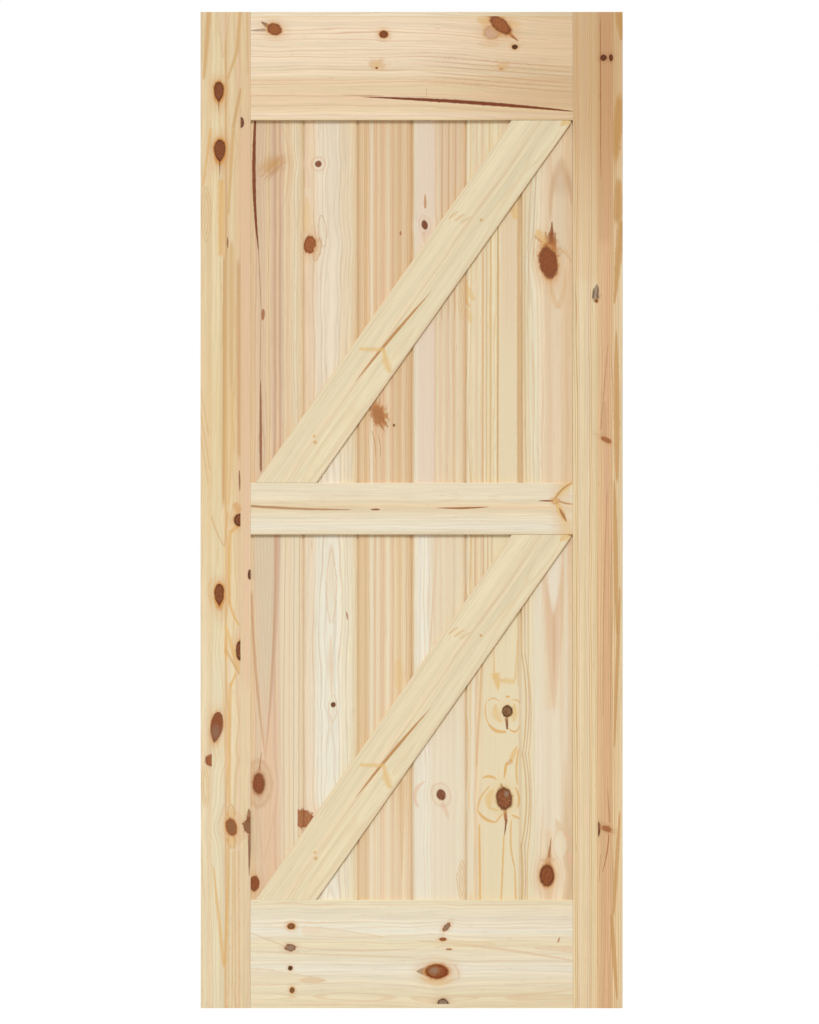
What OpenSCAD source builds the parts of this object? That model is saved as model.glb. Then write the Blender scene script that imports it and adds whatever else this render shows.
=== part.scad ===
// Slab of a sliding barn door in knotty pine. A grooved frame of two stiles and two rails holds a panel of
// upright tongued planks. A middle rail and two diagonal braces lie on the planks, screwed from behind.
// Millimetres: X runs across the door, Y through it with the show face at -Y, and Z up.
// The origin is the middle of the bottom edge.

/* [Door] */
// Overall width of the door
door_w = 904; // [820:1:1000]
// Overall height of the door
door_h = 2134; // [2000:1:2300]
// Thickness of the stiles and of the top and bottom rails
door_t = 35; // [34:0.5:45]

/* [Frame] */
// Width of each stile
stile_w = 107; // [95:1:130]
// Height of the top rail
top_rail_h = 232; // [190:1:260]
// Height of the bottom rail
bottom_rail_h = 232; // [190:1:260]
// Depth of the groove round the inside of the frame
groove_d = 12; // [10:0.5:16]
// Width of the eased edges of the frame, the middle rail and the braces
ease_w = 1; // [0.4:0.1:1.5]

/* [Planks] */
// Thickness of the planks
plank_t = 16; // [14:0.5:18]
// Face width of an inner plank, from joint to joint
plank_face_w = 116; // [100:1:125]
// Room left in the groove for the planks to swell, at the sides and the top
swell_gap = 2; // [1:0.5:4]
// Width of the slope on each side of a V joint
vee_w = 4.5; // [3:0.5:6]
// Depth of a V joint
vee_d = 3; // [2:0.5:4]
// Length of a plank's tongue
tongue_l = 6; // [4:0.5:8]
// Thickness of a plank's tongue
tongue_t = 5; // [4:0.5:6]

/* [Middle rail and braces] */
// Thickness of the middle rail and the braces
overlay_t = 8.5; // [7.5:0.5:9.5]
// Width of the middle rail
mid_rail_w = 111; // [90:1:140]
// Height of the middle rail's centre line above the bottom edge
mid_rail_z = 1070; // [900:1:1200]
// Width of each brace, square to its length
brace_w = 107; // [80:1:125]
// Gap between a brace's lower end and the stile
brace_toe_gap = 10; // [5:1:20]
// Length cut off the sharp upper tip of a brace
brace_tip_cut = 4; // [2:0.5:8]

/* [Dowels] */
// Diameter of a dowel
dowel_d = 12; // [10:0.5:14]
// Length of a dowel
dowel_l = 100; // [80:1:120]
// Distance between two dowels of a joint
dowel_pitch = 60; // [45:1:65]
// Number of flutes round a dowel
flute_count = 12; // [8:1:16]
// Depth of a flute
flute_depth = 0.4; // [0.2:0.1:0.6]
// Chamfer on each end of a dowel
dowel_chamfer = 1.5; // [0.5:0.5:2]

/* [Screws] */
// How far a screw's tip reaches into the middle rail or a brace
screw_bite = 6.3; // [5:0.1:7]
// Diameter of a screw's shank
screw_d = 4; // [3:0.5:5]
// Diameter of a screw's head
screw_head_d = 8; // [7:0.5:9]
// Thickness of the straight rim of a screw's head
screw_rim_t = 0.4; // [0.2:0.1:0.6]
// Length of a screw's pointed tip
screw_tip_l = 4; // [3:0.5:6]
// Depth of a screw's cross recess
recess_depth = 1.6; // [1:0.1:2]
// Length of each arm of the cross recess, from end to end
recess_l = 4; // [3:0.5:5]
// Width of each arm of the cross recess
recess_w = 0.9; // [0.6:0.1:1.2]
// How far a screw's head lies below the back of the planks
screw_sink = 0.3; // [0.1:0.1:0.6]
// Distance between the two rows of screws in the middle rail
screw_row_gap = 56; // [40:1:66]

/* [Fits] */
// Clearance on each side of a tongue in its groove
fit_gap = 0.15; // [0.1:0.05:0.3]
// Gap between two planks, and at the ends of the middle rail and the braces
butt_gap = 0.2; // [0.1:0.05:0.4]
// Clearance round a dowel or a screw in its hole
hole_gap = 0.05; // [0.05:0.05:0.2]
// Room past the end of a tongue or a dowel
end_gap = 0.5; // [0.3:0.1:1]

/* [Hidden] */
plank_count = 6;
dowel_count = 3;
// Least stretch of a plank, across the door, that still takes a screw
screw_room = 16;
// How far a cutting shape reaches past the face that it cuts
past = 1;
round_fn = 48;

inner_x = door_w / 2 - stile_w;
inner_w = 2 * inner_x;
groove_w = plank_t + 2 * fit_gap;
stub_l = groove_d - end_gap;
top_rail_z = door_h - top_rail_h;

plank_lap = groove_d - swell_gap;
plank_bottom_z = bottom_rail_h - groove_d;
plank_l = top_rail_z + plank_lap - plank_bottom_z;
front_y = -plank_t / 2;
back_y = plank_t / 2;

mid_rail_bottom_z = mid_rail_z - mid_rail_w / 2;
mid_rail_top_z = mid_rail_z + mid_rail_w / 2;

dowel_r = dowel_d / 2;
dowel_hole_r = dowel_r + hole_gap;
dowel_hole_l = dowel_l + 2 * end_gap;

screw_r = screw_d / 2;
screw_head_r = screw_head_d / 2;
screw_head_y = back_y - screw_sink;
screw_l = plank_t - screw_sink + screw_bite;
screw_neck_l = screw_rim_t + screw_head_r - screw_r;

stile_colour = [0.87, 0.76, 0.60];
rail_colour = [0.89, 0.80, 0.66];
brace_colour = [0.89, 0.82, 0.69];
plank_colours = [
    [0.86, 0.75, 0.62], [0.90, 0.83, 0.71], [0.88, 0.77, 0.62],
    [0.90, 0.82, 0.69], [0.89, 0.80, 0.66], [0.87, 0.78, 0.65]
];
dowel_colour = [0.80, 0.66, 0.47];
screw_colour = [0.78, 0.76, 0.70];

// Places that more than one piece uses

// X of the joint at the right of plank i; joint 0 and the last one are the edges of the opening
function joint_x(i) =
    i == 0 ? -inner_x :
    i == plank_count ? inner_x :
    (i - plank_count / 2) * plank_face_w;

// Heights of a rail's dowels above the rail's outer edge
function dowel_zs(rail_h) =
    [for (k = [0 : dowel_count - 1]) rail_h / 2 + (k - (dowel_count - 1) / 2) * dowel_pitch];

// One x in the middle of each plank's share of the stretch from x_low to x_high
function screw_xs(x_low, x_high) = [
    for (i = [1 : plank_count])
        let (low = max(x_low, joint_x(i - 1)), high = min(x_high, joint_x(i)))
        if (high - low > screw_room) (low + high) / 2
];

// A brace as [angle, length of its level end cuts, z of its lower end, z of its upper end]
function brace_lay(z_low, z_high) =
    let (
        low = z_low + butt_gap,
        high = z_high - butt_gap,
        rise = high - low,
        run = inner_w - brace_toe_gap,
        angle = atan2(rise, run) + asin(brace_w / norm([rise, run]))
    )
    [angle, brace_w / sin(angle), low, high];

upper_lay = brace_lay(mid_rail_top_z, top_rail_z);
lower_lay = brace_lay(bottom_rail_h, mid_rail_bottom_z);

// X of the middle of a brace's lower and upper ends
function brace_low_x(lay) = -inner_x + brace_toe_gap + lay[1] / 2;
function brace_high_x(lay) = inner_x - lay[1] / 2;

// Screw places as [x, z], along a brace's centre line and in the middle rail's two rows
function brace_screws_at(lay) = [
    for (x = screw_xs(brace_low_x(lay), brace_high_x(lay)))
        [x, lay[2] + (x - brace_low_x(lay)) * tan(lay[0])]
];
mid_rail_screws_at = [
    for (side = [-1, 1], x = screw_xs(-inner_x, inner_x)) [x, mid_rail_z + side * screw_row_gap / 2]
];
upper_screws_at = brace_screws_at(upper_lay);
lower_screws_at = brace_screws_at(lower_lay);
all_screws_at = concat(mid_rail_screws_at, upper_screws_at, lower_screws_at);

// Frame

// Section of a stile or rail: x from its outer edge to its grooved inner edge, y through the door.
// A stile's outer edge is eased, and a rail's is sawn square with the ends of the stiles.
module frame_section(width, outer_eased) {
    face = door_t / 2;
    cheek = groove_w / 2;
    floor_x = width - groove_d;
    outer_edge = outer_eased
        ? [[ease_w, face], [0, face - ease_w], [0, ease_w - face], [ease_w, -face]]
        : [[0, face], [0, -face]];
    inner_edge = [
        [width - ease_w, -face], [width, ease_w - face],
        [width, -cheek], [floor_x, -cheek], [floor_x, cheek], [width, cheek],
        [width, face - ease_w], [width - ease_w, face]
    ];
    polygon(concat(outer_edge, inner_edge));
}

// Holes for one joint's dowels, centred on the shoulder between rail and stile
module dowel_holes(zs) {
    for (z = zs)
        translate([0, 0, z])
            rotate([0, 90, 0])
                cylinder(r = dowel_hole_r, h = dowel_hole_l, center = true, $fn = round_fn);
}

// Stile with its outer edge at x = 0 and its groove towards +X
module stile() {
    difference() {
        linear_extrude(door_h) frame_section(stile_w, true);
        translate([stile_w, 0, 0]) dowel_holes(dowel_zs(bottom_rail_h));
        translate([stile_w, 0, door_h]) mirror([0, 0, 1]) dowel_holes(dowel_zs(top_rail_h));
    }
}

module left_stile() {
    color(stile_colour) translate([-door_w / 2, 0, 0]) stile();
}

module right_stile() {
    color(stile_colour) mirror([1, 0, 0]) translate([-door_w / 2, 0, 0]) stile();
}

// Rail with its outer edge at z = 0, its groove upwards, and a stub tongue on each end
module rail(height) {
    difference() {
        union() {
            rotate([0, -90, 0]) linear_extrude(inner_w, center = true) frame_section(height, false);
            translate([-inner_x - stub_l, -plank_t / 2, 0])
                cube([inner_w + 2 * stub_l, plank_t, height - groove_d]);
        }
        for (side = [-1, 1]) translate([side * inner_x, 0, 0]) dowel_holes(dowel_zs(height));
    }
}

module top_rail() {
    color(rail_colour) translate([0, 0, door_h]) mirror([0, 0, 1]) rail(top_rail_h);
}

module bottom_rail() {
    color(rail_colour) rail(bottom_rail_h);
}

// Planks

// Outline of a plank's left edge, from its back to its front: plain in the stile, grooved at a joint
function left_edge(i) = i == 1
    ? let (x = joint_x(0) - plank_lap) [[x, back_y], [x, front_y]]
    : let (
        x = joint_x(i - 1) + butt_gap / 2,
        cheek = tongue_t / 2 + fit_gap,
        floor_x = x + tongue_l + end_gap
    ) [
        [x + vee_w, back_y], [x, back_y - vee_d],
        [x, cheek], [floor_x, cheek], [floor_x, -cheek], [x, -cheek],
        [x, front_y + vee_d], [x + vee_w, front_y]
    ];

// Outline of a plank's right edge, from its front to its back: plain in the stile, tongued at a joint
function right_edge(i) = i == plank_count
    ? let (x = joint_x(i) + plank_lap) [[x, front_y], [x, back_y]]
    : let (
        x = joint_x(i) - butt_gap / 2,
        cheek = tongue_t / 2,
        tip_x = x + tongue_l
    ) [
        [x - vee_w, front_y], [x, front_y + vee_d],
        [x, -cheek], [tip_x, -cheek], [tip_x, cheek], [x, cheek],
        [x, back_y - vee_d], [x - vee_w, back_y]
    ];

module plank(i) {
    color(plank_colours[i - 1])
        difference() {
            translate([0, 0, plank_bottom_z])
                linear_extrude(plank_l) polygon(concat(left_edge(i), right_edge(i)));
            for (at = all_screws_at)
                if (at[0] > joint_x(i - 1) && at[0] < joint_x(i)) screw_hole(at);
        }
}

// Middle rail and braces

// Strip with eased front edges, centred on the origin along X and lying on the planks
module overlay_strip(width, length) {
    half_w = width / 2;
    show_y = front_y - overlay_t;
    rotate([90, 0, 90])
        linear_extrude(length, center = true)
            polygon([
                [front_y, -half_w], [front_y, half_w],
                [show_y + ease_w, half_w], [show_y, half_w - ease_w],
                [show_y, ease_w - half_w], [show_y + ease_w, -half_w]
            ]);
}

module mid_rail() {
    color(brace_colour)
        difference() {
            translate([0, 0, mid_rail_z]) overlay_strip(mid_rail_w, inner_w - 2 * butt_gap);
            for (at = mid_rail_screws_at) screw_hole(at);
        }
}

// A strip laid at the brace's angle, with its ends sawn level and its upper tip sawn upright
module brace(lay, screws_at) {
    low = lay[2];
    rise = lay[3] - low;
    mid_x = (brace_low_x(lay) + brace_high_x(lay)) / 2;
    strip_l = rise / sin(lay[0]) + 2 * brace_w;
    color(brace_colour)
        difference() {
            intersection() {
                translate([mid_x, 0, low + rise / 2])
                    rotate([0, -lay[0], 0]) overlay_strip(brace_w, strip_l);
                translate([-inner_x, front_y - overlay_t - past, low])
                    cube([inner_w - brace_tip_cut, overlay_t + 2 * past, rise]);
            }
            for (at = screws_at) screw_hole(at);
        }
}

module upper_brace() {
    brace(upper_lay, upper_screws_at);
}

module lower_brace() {
    brace(lower_lay, lower_screws_at);
}

// Dowels

// Fluted dowel along X, centred on its length
module dowel() {
    half_l = dowel_l / 2;
    flute_r = 2 * flute_depth;
    rotate([0, 90, 0])
        difference() {
            rotate_extrude($fn = round_fn)
                polygon([
                    [0, -half_l], [dowel_r - dowel_chamfer, -half_l], [dowel_r, dowel_chamfer - half_l],
                    [dowel_r, half_l - dowel_chamfer], [dowel_r - dowel_chamfer, half_l], [0, half_l]
                ]);
            for (k = [0 : flute_count - 1])
                rotate([0, 0, k * 360 / flute_count])
                    translate([dowel_r + flute_r - flute_depth, 0, 0])
                        cylinder(r = flute_r, h = dowel_l + 2 * past, center = true, $fn = 24);
        }
}

// One joint's dowels; side is -1 at the left stile and 1 at the right one
module joint_dowels(side, zs) {
    color(dowel_colour)
        for (z = zs) translate([side * inner_x, 0, z]) dowel();
}

top_dowel_zs = [for (z = dowel_zs(top_rail_h)) door_h - z];
bottom_dowel_zs = dowel_zs(bottom_rail_h);

// Screws

// Turned outline of a screw or of its hole: z from the top of the head towards the tip
module screw_outline(grow) {
    tip_end = screw_l + grow;
    polygon([
        [0, 0], [screw_head_r + grow, 0], [screw_head_r + grow, screw_rim_t],
        [screw_r + grow, screw_neck_l], [screw_r + grow, tip_end - screw_tip_l], [0, tip_end]
    ]);
}

// Countersunk screw with its axis along Y, its head at the back and its tip towards the show face
module screw(at) {
    translate([at[0], screw_head_y, at[1]])
        rotate([90, 0, 0])
            difference() {
                rotate_extrude($fn = round_fn) screw_outline(0);
                for (turn = [0, 90])
                    rotate([0, 0, turn])
                        translate([-recess_l / 2, -recess_w / 2, -past])
                            cube([recess_l, recess_w, recess_depth + past]);
            }
}

// Countersunk hole that a screw sits in, open at the back of the planks
module screw_hole(at) {
    translate([at[0], screw_head_y, at[1]])
        rotate([90, 0, 0]) {
            rotate_extrude($fn = round_fn) screw_outline(hole_gap);
            translate([0, 0, -screw_sink - past])
                cylinder(r = screw_head_r + hole_gap, h = screw_sink + past, $fn = round_fn);
        }
}

module screws(places) {
    color(screw_colour)
        for (at = places) screw(at);
}

left_stile();
right_stile();
top_rail();
bottom_rail();
mid_rail();
upper_brace();
lower_brace();
for (i = [1 : plank_count])
    plank(i);
joint_dowels(-1, top_dowel_zs);  // top_left_dowels
joint_dowels(1, top_dowel_zs);  // top_right_dowels
joint_dowels(-1, bottom_dowel_zs);  // bottom_left_dowels
joint_dowels(1, bottom_dowel_zs);  // bottom_right_dowels
screws(mid_rail_screws_at);  // mid_rail_screws
screws(upper_screws_at);  // upper_brace_screws
screws(lower_screws_at);  // lower_brace_screws
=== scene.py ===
"""Looks of the sliding barn door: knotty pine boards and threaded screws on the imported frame."""

import logging
import math
from dataclasses import dataclass, field
from enum import Enum
from typing import Union

import bpy
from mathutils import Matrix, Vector


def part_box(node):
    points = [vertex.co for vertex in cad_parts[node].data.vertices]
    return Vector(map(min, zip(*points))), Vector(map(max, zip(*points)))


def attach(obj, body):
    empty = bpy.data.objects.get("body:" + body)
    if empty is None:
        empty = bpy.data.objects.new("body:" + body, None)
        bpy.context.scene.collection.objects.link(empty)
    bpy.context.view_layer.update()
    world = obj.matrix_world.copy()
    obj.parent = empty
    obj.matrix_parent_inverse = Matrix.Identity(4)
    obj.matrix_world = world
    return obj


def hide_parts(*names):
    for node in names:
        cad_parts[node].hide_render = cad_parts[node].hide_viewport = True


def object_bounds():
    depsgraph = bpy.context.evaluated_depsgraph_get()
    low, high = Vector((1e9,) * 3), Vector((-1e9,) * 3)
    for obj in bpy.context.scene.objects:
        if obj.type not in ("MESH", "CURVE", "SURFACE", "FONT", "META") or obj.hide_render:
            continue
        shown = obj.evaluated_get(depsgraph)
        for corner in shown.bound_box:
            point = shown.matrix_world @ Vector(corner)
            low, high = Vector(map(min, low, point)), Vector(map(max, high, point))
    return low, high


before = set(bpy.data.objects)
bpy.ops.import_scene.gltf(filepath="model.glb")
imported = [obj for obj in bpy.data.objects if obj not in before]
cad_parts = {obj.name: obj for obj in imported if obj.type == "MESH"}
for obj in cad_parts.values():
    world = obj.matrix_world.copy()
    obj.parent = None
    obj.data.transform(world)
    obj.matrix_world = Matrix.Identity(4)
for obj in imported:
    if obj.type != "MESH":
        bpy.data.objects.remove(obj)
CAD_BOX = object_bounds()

log = logging.getLogger("barn_door")

Socket = bpy.types.NodeSocket
Value = Union[float, tuple, Socket]
Point = tuple[float, float]

BODY = "root"
MM = 0.001
FAR = 10000.0
NOISE_SPAN = (0.3, 0.7)


class Tone(Enum):
    """Colours of the pine, its knots and its pitch, as sRGB bytes."""

    MILK = (233, 222, 199)
    CREAM = (231, 216, 186)
    PEACH = (234, 212, 181)
    LEMON = (230, 214, 178)
    STRAW = (229, 209, 173)
    HONEY = (226, 202, 163)
    BLUSH = (226, 197, 162)
    SAND = (221, 190, 151)
    ROSE = (219, 181, 145)
    AMBER = (217, 179, 133)
    OCHRE = (211, 169, 113)
    TOFFEE = (197, 149, 88)
    MAUVE = (207, 172, 144)
    BISQUE = (222, 197, 166)
    SHELL = (228, 205, 181)
    OAT = (215, 197, 166)
    PETAL = (226, 186, 154)
    APRICOT = (225, 186, 122)
    CLAY = (196, 152, 112)
    MARIGOLD = (221, 170, 98)
    GINGER = (208, 146, 80)
    TAWNY = (188, 136, 84)
    SIENNA = (165, 108, 66)
    RUST = (158, 92, 52)
    RUSSET = (136, 72, 40)
    UMBER = (128, 72, 45)
    CHESTNUT = (104, 54, 31)
    PITCH = (118, 50, 17)
    SLATE = (148, 126, 106)
    BARK = (70, 42, 27)
    WALNUT = (128, 86, 54)
    BEECH = (206, 170, 122)

    @property
    def linear(self) -> tuple[float, float, float, float]:
        """The tone in Blender's linear colour.

        Returns:
            Red, green, blue and alpha.
        """
        channels = [channel / 255.0 for channel in self.value]
        return tuple(
            c / 12.92 if c <= 0.04045 else ((c + 0.055) / 1.055) ** 2.4 for c in channels
        ) + (1.0,)


class Lie(Enum):
    """Which way the grain of a board runs on the door's face."""

    UPRIGHT = "upright"
    LEVEL = "level"
    SLANTED = "slanted"


class Graph:
    """Short calls that add nodes to one tree and link them."""

    def __init__(self, tree: bpy.types.NodeTree) -> None:
        """Work on a tree.

        Args:
            tree: The material's or group's node tree.
        """
        self.tree = tree

    def node(self, kind: str, **settings: object) -> bpy.types.Node:
        """Add a node.

        Args:
            kind: The node's type name.
            settings: Properties to set on it.

        Returns:
            The new node.
        """
        made = self.tree.nodes.new(kind)
        for name, value in settings.items():
            setattr(made, name, value)
        return made

    def feed(self, socket: Socket, value: Value) -> None:
        """Link a socket to another one, or set its value.

        Args:
            socket: The input to feed.
            value: A socket or a plain value.
        """
        if isinstance(value, Socket):
            self.tree.links.new(value, socket)
        else:
            socket.default_value = value

    def fill(self, node: bpy.types.Node, values: dict[str, Value]) -> bpy.types.Node:
        """Feed several inputs of a node by name.

        Args:
            node: The node.
            values: What each named input gets.

        Returns:
            The same node.
        """
        for name, value in values.items():
            self.feed(node.inputs[name], value)
        return node

    def math(self, operation: str, *values: Value, clamp: bool = False) -> Socket:
        """Add a Math node.

        Args:
            operation: The node's operation.
            values: Its inputs, in order.
            clamp: Whether the result stays between 0 and 1.

        Returns:
            The result's socket.
        """
        made = self.node("ShaderNodeMath", operation=operation, use_clamp=clamp)
        for socket, value in zip(made.inputs, values):
            self.feed(socket, value)
        return made.outputs[0]

    def times(self, *values: Value, clamp: bool = False) -> Socket:
        """Multiply two values."""
        return self.math("MULTIPLY", *values, clamp=clamp)

    def vector(self, operation: str, *values: Value) -> Socket:
        """Add a Vector Math node with a vector result.

        Args:
            operation: The node's operation.
            values: Its inputs, in order.

        Returns:
            The result's socket.
        """
        made = self.node("ShaderNodeVectorMath", operation=operation)
        for socket, value in zip(made.inputs, values):
            self.feed(socket, value)
        return made.outputs[0]

    def split(self, value: Value) -> list[Socket]:
        """Split a vector into its three parts.

        Args:
            value: The vector.

        Returns:
            The sockets of its parts.
        """
        made = self.node("ShaderNodeSeparateXYZ")
        self.feed(made.inputs[0], value)
        return list(made.outputs)

    def join(self, *values: Value) -> Socket:
        """Make a vector of up to three parts.

        Args:
            values: Its parts, in order.

        Returns:
            The vector's socket.
        """
        made = self.node("ShaderNodeCombineXYZ")
        for socket, value in zip(made.inputs, values):
            self.feed(socket, value)
        return made.outputs[0]

    def smooth(self, value: Value, low: Value, high: Value) -> Socket:
        """Rise smoothly from 0 at low to 1 at high.

        Args:
            value: What is measured.
            low: Where the result is 0.
            high: Where it is 1.

        Returns:
            The result's socket.
        """
        made = self.node("ShaderNodeMapRange", interpolation_type="SMOOTHSTEP")
        for socket, given in zip(made.inputs, (value, low, high)):
            self.feed(socket, given)
        return made.outputs[0]

    def blend(self, factor: Value, below: Value, above: Value, kind: str = "MIX") -> Socket:
        """Mix two colours.

        Args:
            factor: How much of the upper colour shows.
            below: The lower colour.
            above: The upper colour.
            kind: The blending mode.

        Returns:
            The mixed colour's socket.
        """
        made = self.node("ShaderNodeMix", data_type="RGBA", blend_type=kind)
        for socket, given in zip((made.inputs[0], made.inputs[6], made.inputs[7]), (factor, below, above)):
            self.feed(socket, given)
        return made.outputs[2]

    def noise(self, vector: Value, detail: float = 2.0, roughness: float = 0.5) -> Socket:
        """Smooth noise about 0.5.

        Args:
            vector: Coordinates that are already scaled.
            detail: How many finer layers it has.
            roughness: How strong the finer layers are.

        Returns:
            The noise's socket.
        """
        made = self.node("ShaderNodeTexNoise", noise_dimensions="3D")
        self.fill(made, {"Vector": vector, "Scale": 1.0, "Detail": detail, "Roughness": roughness})
        return made.outputs[0]

    def use(self, group: bpy.types.NodeTree, **inputs: Value) -> bpy.types.Node:
        """Place a shared group.

        Args:
            group: The group's tree.
            inputs: Its inputs; an underscore stands for a space.

        Returns:
            The group's node.
        """
        made = self.node("ShaderNodeGroup", node_tree=group)
        return self.fill(made, {name.replace("_", " "): value for name, value in inputs.items()})


def new_group(name: str, inputs: dict[str, str],
              outputs: dict[str, str]) -> tuple[Graph, dict[str, Socket], bpy.types.Node]:
    """Start a shader node group.

    Args:
        name: The group's name.
        inputs: Socket names with their types, such as Float, Vector or Color.
        outputs: The same for the results.

    Returns:
        The group's graph, its input sockets by name, and its output node.
    """
    tree = bpy.data.node_groups.new(name, "ShaderNodeTree")
    for names, way in ((inputs, "INPUT"), (outputs, "OUTPUT")):
        for label, kind in names.items():
            tree.interface.new_socket(label, in_out=way, socket_type=f"NodeSocket{kind}")
    graph = Graph(tree)
    source = graph.node("NodeGroupInput")
    return graph, {label: source.outputs[label] for label in inputs}, graph.node("NodeGroupOutput")


class PineEffects:
    """Shader groups that every pine board shares. Board space is across, depth and along, in millimetres.

    A trace of the colour so far, too small to see, ties each mark and knot to the one before it. Cycles then
    works them out one at a time, and its stack holds any number of them. Scales are waves to the millimetre,
    across, in depth and along the board. A pair gives where an edge is still out and where it is full.
    """

    TRACE = (1e-6, 1e-6, 1e-6)
    DRIFT_SCALE = (0.006, 0.0052)
    WAVER_SCALE = (0.045, 0.0035)
    RING_WAVER = 2.6
    LATE_RISE = (0.55, 0.88)
    LATE_FALL = (1.0, 0.92)
    RING_CONTRAST = 0.9
    FIBRE_SCALE = (0.42, 0.42, 0.012)
    STREAK_SCALE = (0.09, 0.09, 0.0014)
    DASH_SCALE = (0.5, 0.5, 0.035)
    DASH_EDGE = (0.74, 0.86)
    SPADE_POWER = 2.4
    THREAD_WIDTH = 0.16
    TIGHT_HALO = (1.6, 0.9)
    TIGHT_SHARE = 0.75
    WIDE_HALO = (2.7, 1.0)
    WIDE_SHARE = 0.3
    RING_RADIUS = 2.1
    RING_EDGE = (0.34, 0.06)
    CORE_WAVES = 13.0
    WAVE_FRAY = 7.0
    WAVE_SHARE = 0.24
    MOTTLE = 2.0
    MOTTLE_BASE = 0.12
    RIM_EDGE = (0.45, 1.0)
    RIM_SHARE = 0.75
    FLECK_EDGE = (0.48, 0.3)
    FLECK_SHARE = 0.16
    LEAST_WIDTH = 0.05
    LINE_EDGE = (2.2, 0.4)
    LINE_OUTSIDE = (-2.4, -0.4)

    def __init__(self) -> None:
        """Build each group once."""
        self.flow = self._grain_flow()
        self.rings = self._annual_rings()
        self.fibre = self._fibre()
        self.knot = self._knot()
        self.mark = self._mark()

    def _grain_flow(self) -> bpy.types.NodeTree:
        """Grain that parts round a knot: coordinates are pushed apart beside it.

        Returns:
            The group's tree.
        """
        graph, given, result = new_group(
            "Grain Flow",
            {"Vector": "Vector", "Centre": "Vector", "Reach": "Float", "Run": "Float", "Push": "Float"},
            {"Vector": "Vector"},
        )
        across, _, along = graph.split(graph.vector("SUBTRACT", given["Vector"], given["Centre"]))
        spread = graph.math("DIVIDE", across, given["Reach"])
        bell = graph.math("DIVIDE", graph.times(spread, 2.0), graph.math("MULTIPLY_ADD", spread, spread, 1.0))
        run = graph.math("DIVIDE", along, given["Run"])
        fade = graph.math("POWER", graph.math("MULTIPLY_ADD", run, run, 1.0), -2.0)
        shift = graph.times(graph.times(bell, fade), given["Push"])
        graph.feed(result.inputs["Vector"],
                   graph.vector("SUBTRACT", given["Vector"], graph.join(shift, 0.0, 0.0)))
        return graph.tree

    def _annual_rings(self) -> bpy.types.NodeTree:
        """Year rings about a pith that wanders behind the board: straight lines beside it, arches over it.

        Returns:
            The group's tree.
        """
        graph, given, result = new_group(
            "Annual Rings",
            {"Vector": "Vector", "Pith": "Vector", "Spacing": "Float", "Wander": "Float", "Seed": "Float"},
            {"Latewood": "Float"},
        )
        across, depth, along = graph.split(graph.vector("SUBTRACT", given["Vector"], given["Pith"]))
        slow = graph.join(graph.times(across, self.DRIFT_SCALE[0]), given["Seed"],
                          graph.times(along, self.DRIFT_SCALE[1]))
        drift = graph.times(graph.math("SUBTRACT", graph.noise(slow, 1.0), 0.5), given["Wander"])
        behind = graph.math("ADD", depth, drift)
        radius = graph.math("SQRT", graph.math("MULTIPLY_ADD", across, across,
                                               graph.times(behind, behind)))
        uneven = graph.join(graph.times(radius, self.WAVER_SCALE[0]), given["Seed"],
                            graph.times(along, self.WAVER_SCALE[1]))
        waver = graph.times(graph.math("SUBTRACT", graph.noise(uneven, 2.0), 0.5), self.RING_WAVER)
        phase = graph.math("ADD", graph.math("DIVIDE", radius, given["Spacing"]), waver)
        part = graph.math("FRACT", phase)
        late = graph.times(graph.smooth(part, *self.LATE_RISE), graph.smooth(part, *self.LATE_FALL))
        ring = graph.node("ShaderNodeTexWhiteNoise", noise_dimensions="1D")
        graph.feed(ring.inputs["W"], graph.math("ADD", graph.math("FLOOR", phase), given["Seed"]))
        strength = graph.math("POWER", ring.outputs["Value"], self.RING_CONTRAST)
        graph.feed(result.inputs["Latewood"], graph.times(late, strength))
        return graph.tree

    def _fibre(self) -> bpy.types.NodeTree:
        """Fine fibres along the grain, broad soft streaks, and short dark resin dashes.

        Returns:
            The group's tree.
        """
        graph, given, result = new_group(
            "Wood Fibre", {"Vector": "Vector", "Seed": "Float"},
            {"Fibre": "Float", "Streak": "Float", "Dash": "Float"},
        )
        moved = graph.vector("ADD", given["Vector"], graph.join(given["Seed"], given["Seed"], given["Seed"]))
        fibre = graph.noise(graph.vector("MULTIPLY", moved, self.FIBRE_SCALE), 3.0, 0.65)
        streak = graph.noise(graph.vector("MULTIPLY", moved, self.STREAK_SCALE), 2.0, 0.55)
        dash = graph.noise(graph.vector("MULTIPLY", moved, self.DASH_SCALE), 0.0)
        graph.feed(result.inputs["Fibre"], fibre)
        graph.feed(result.inputs["Streak"], streak)
        graph.feed(result.inputs["Dash"], graph.smooth(dash, *self.DASH_EDGE))
        return graph.tree

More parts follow.
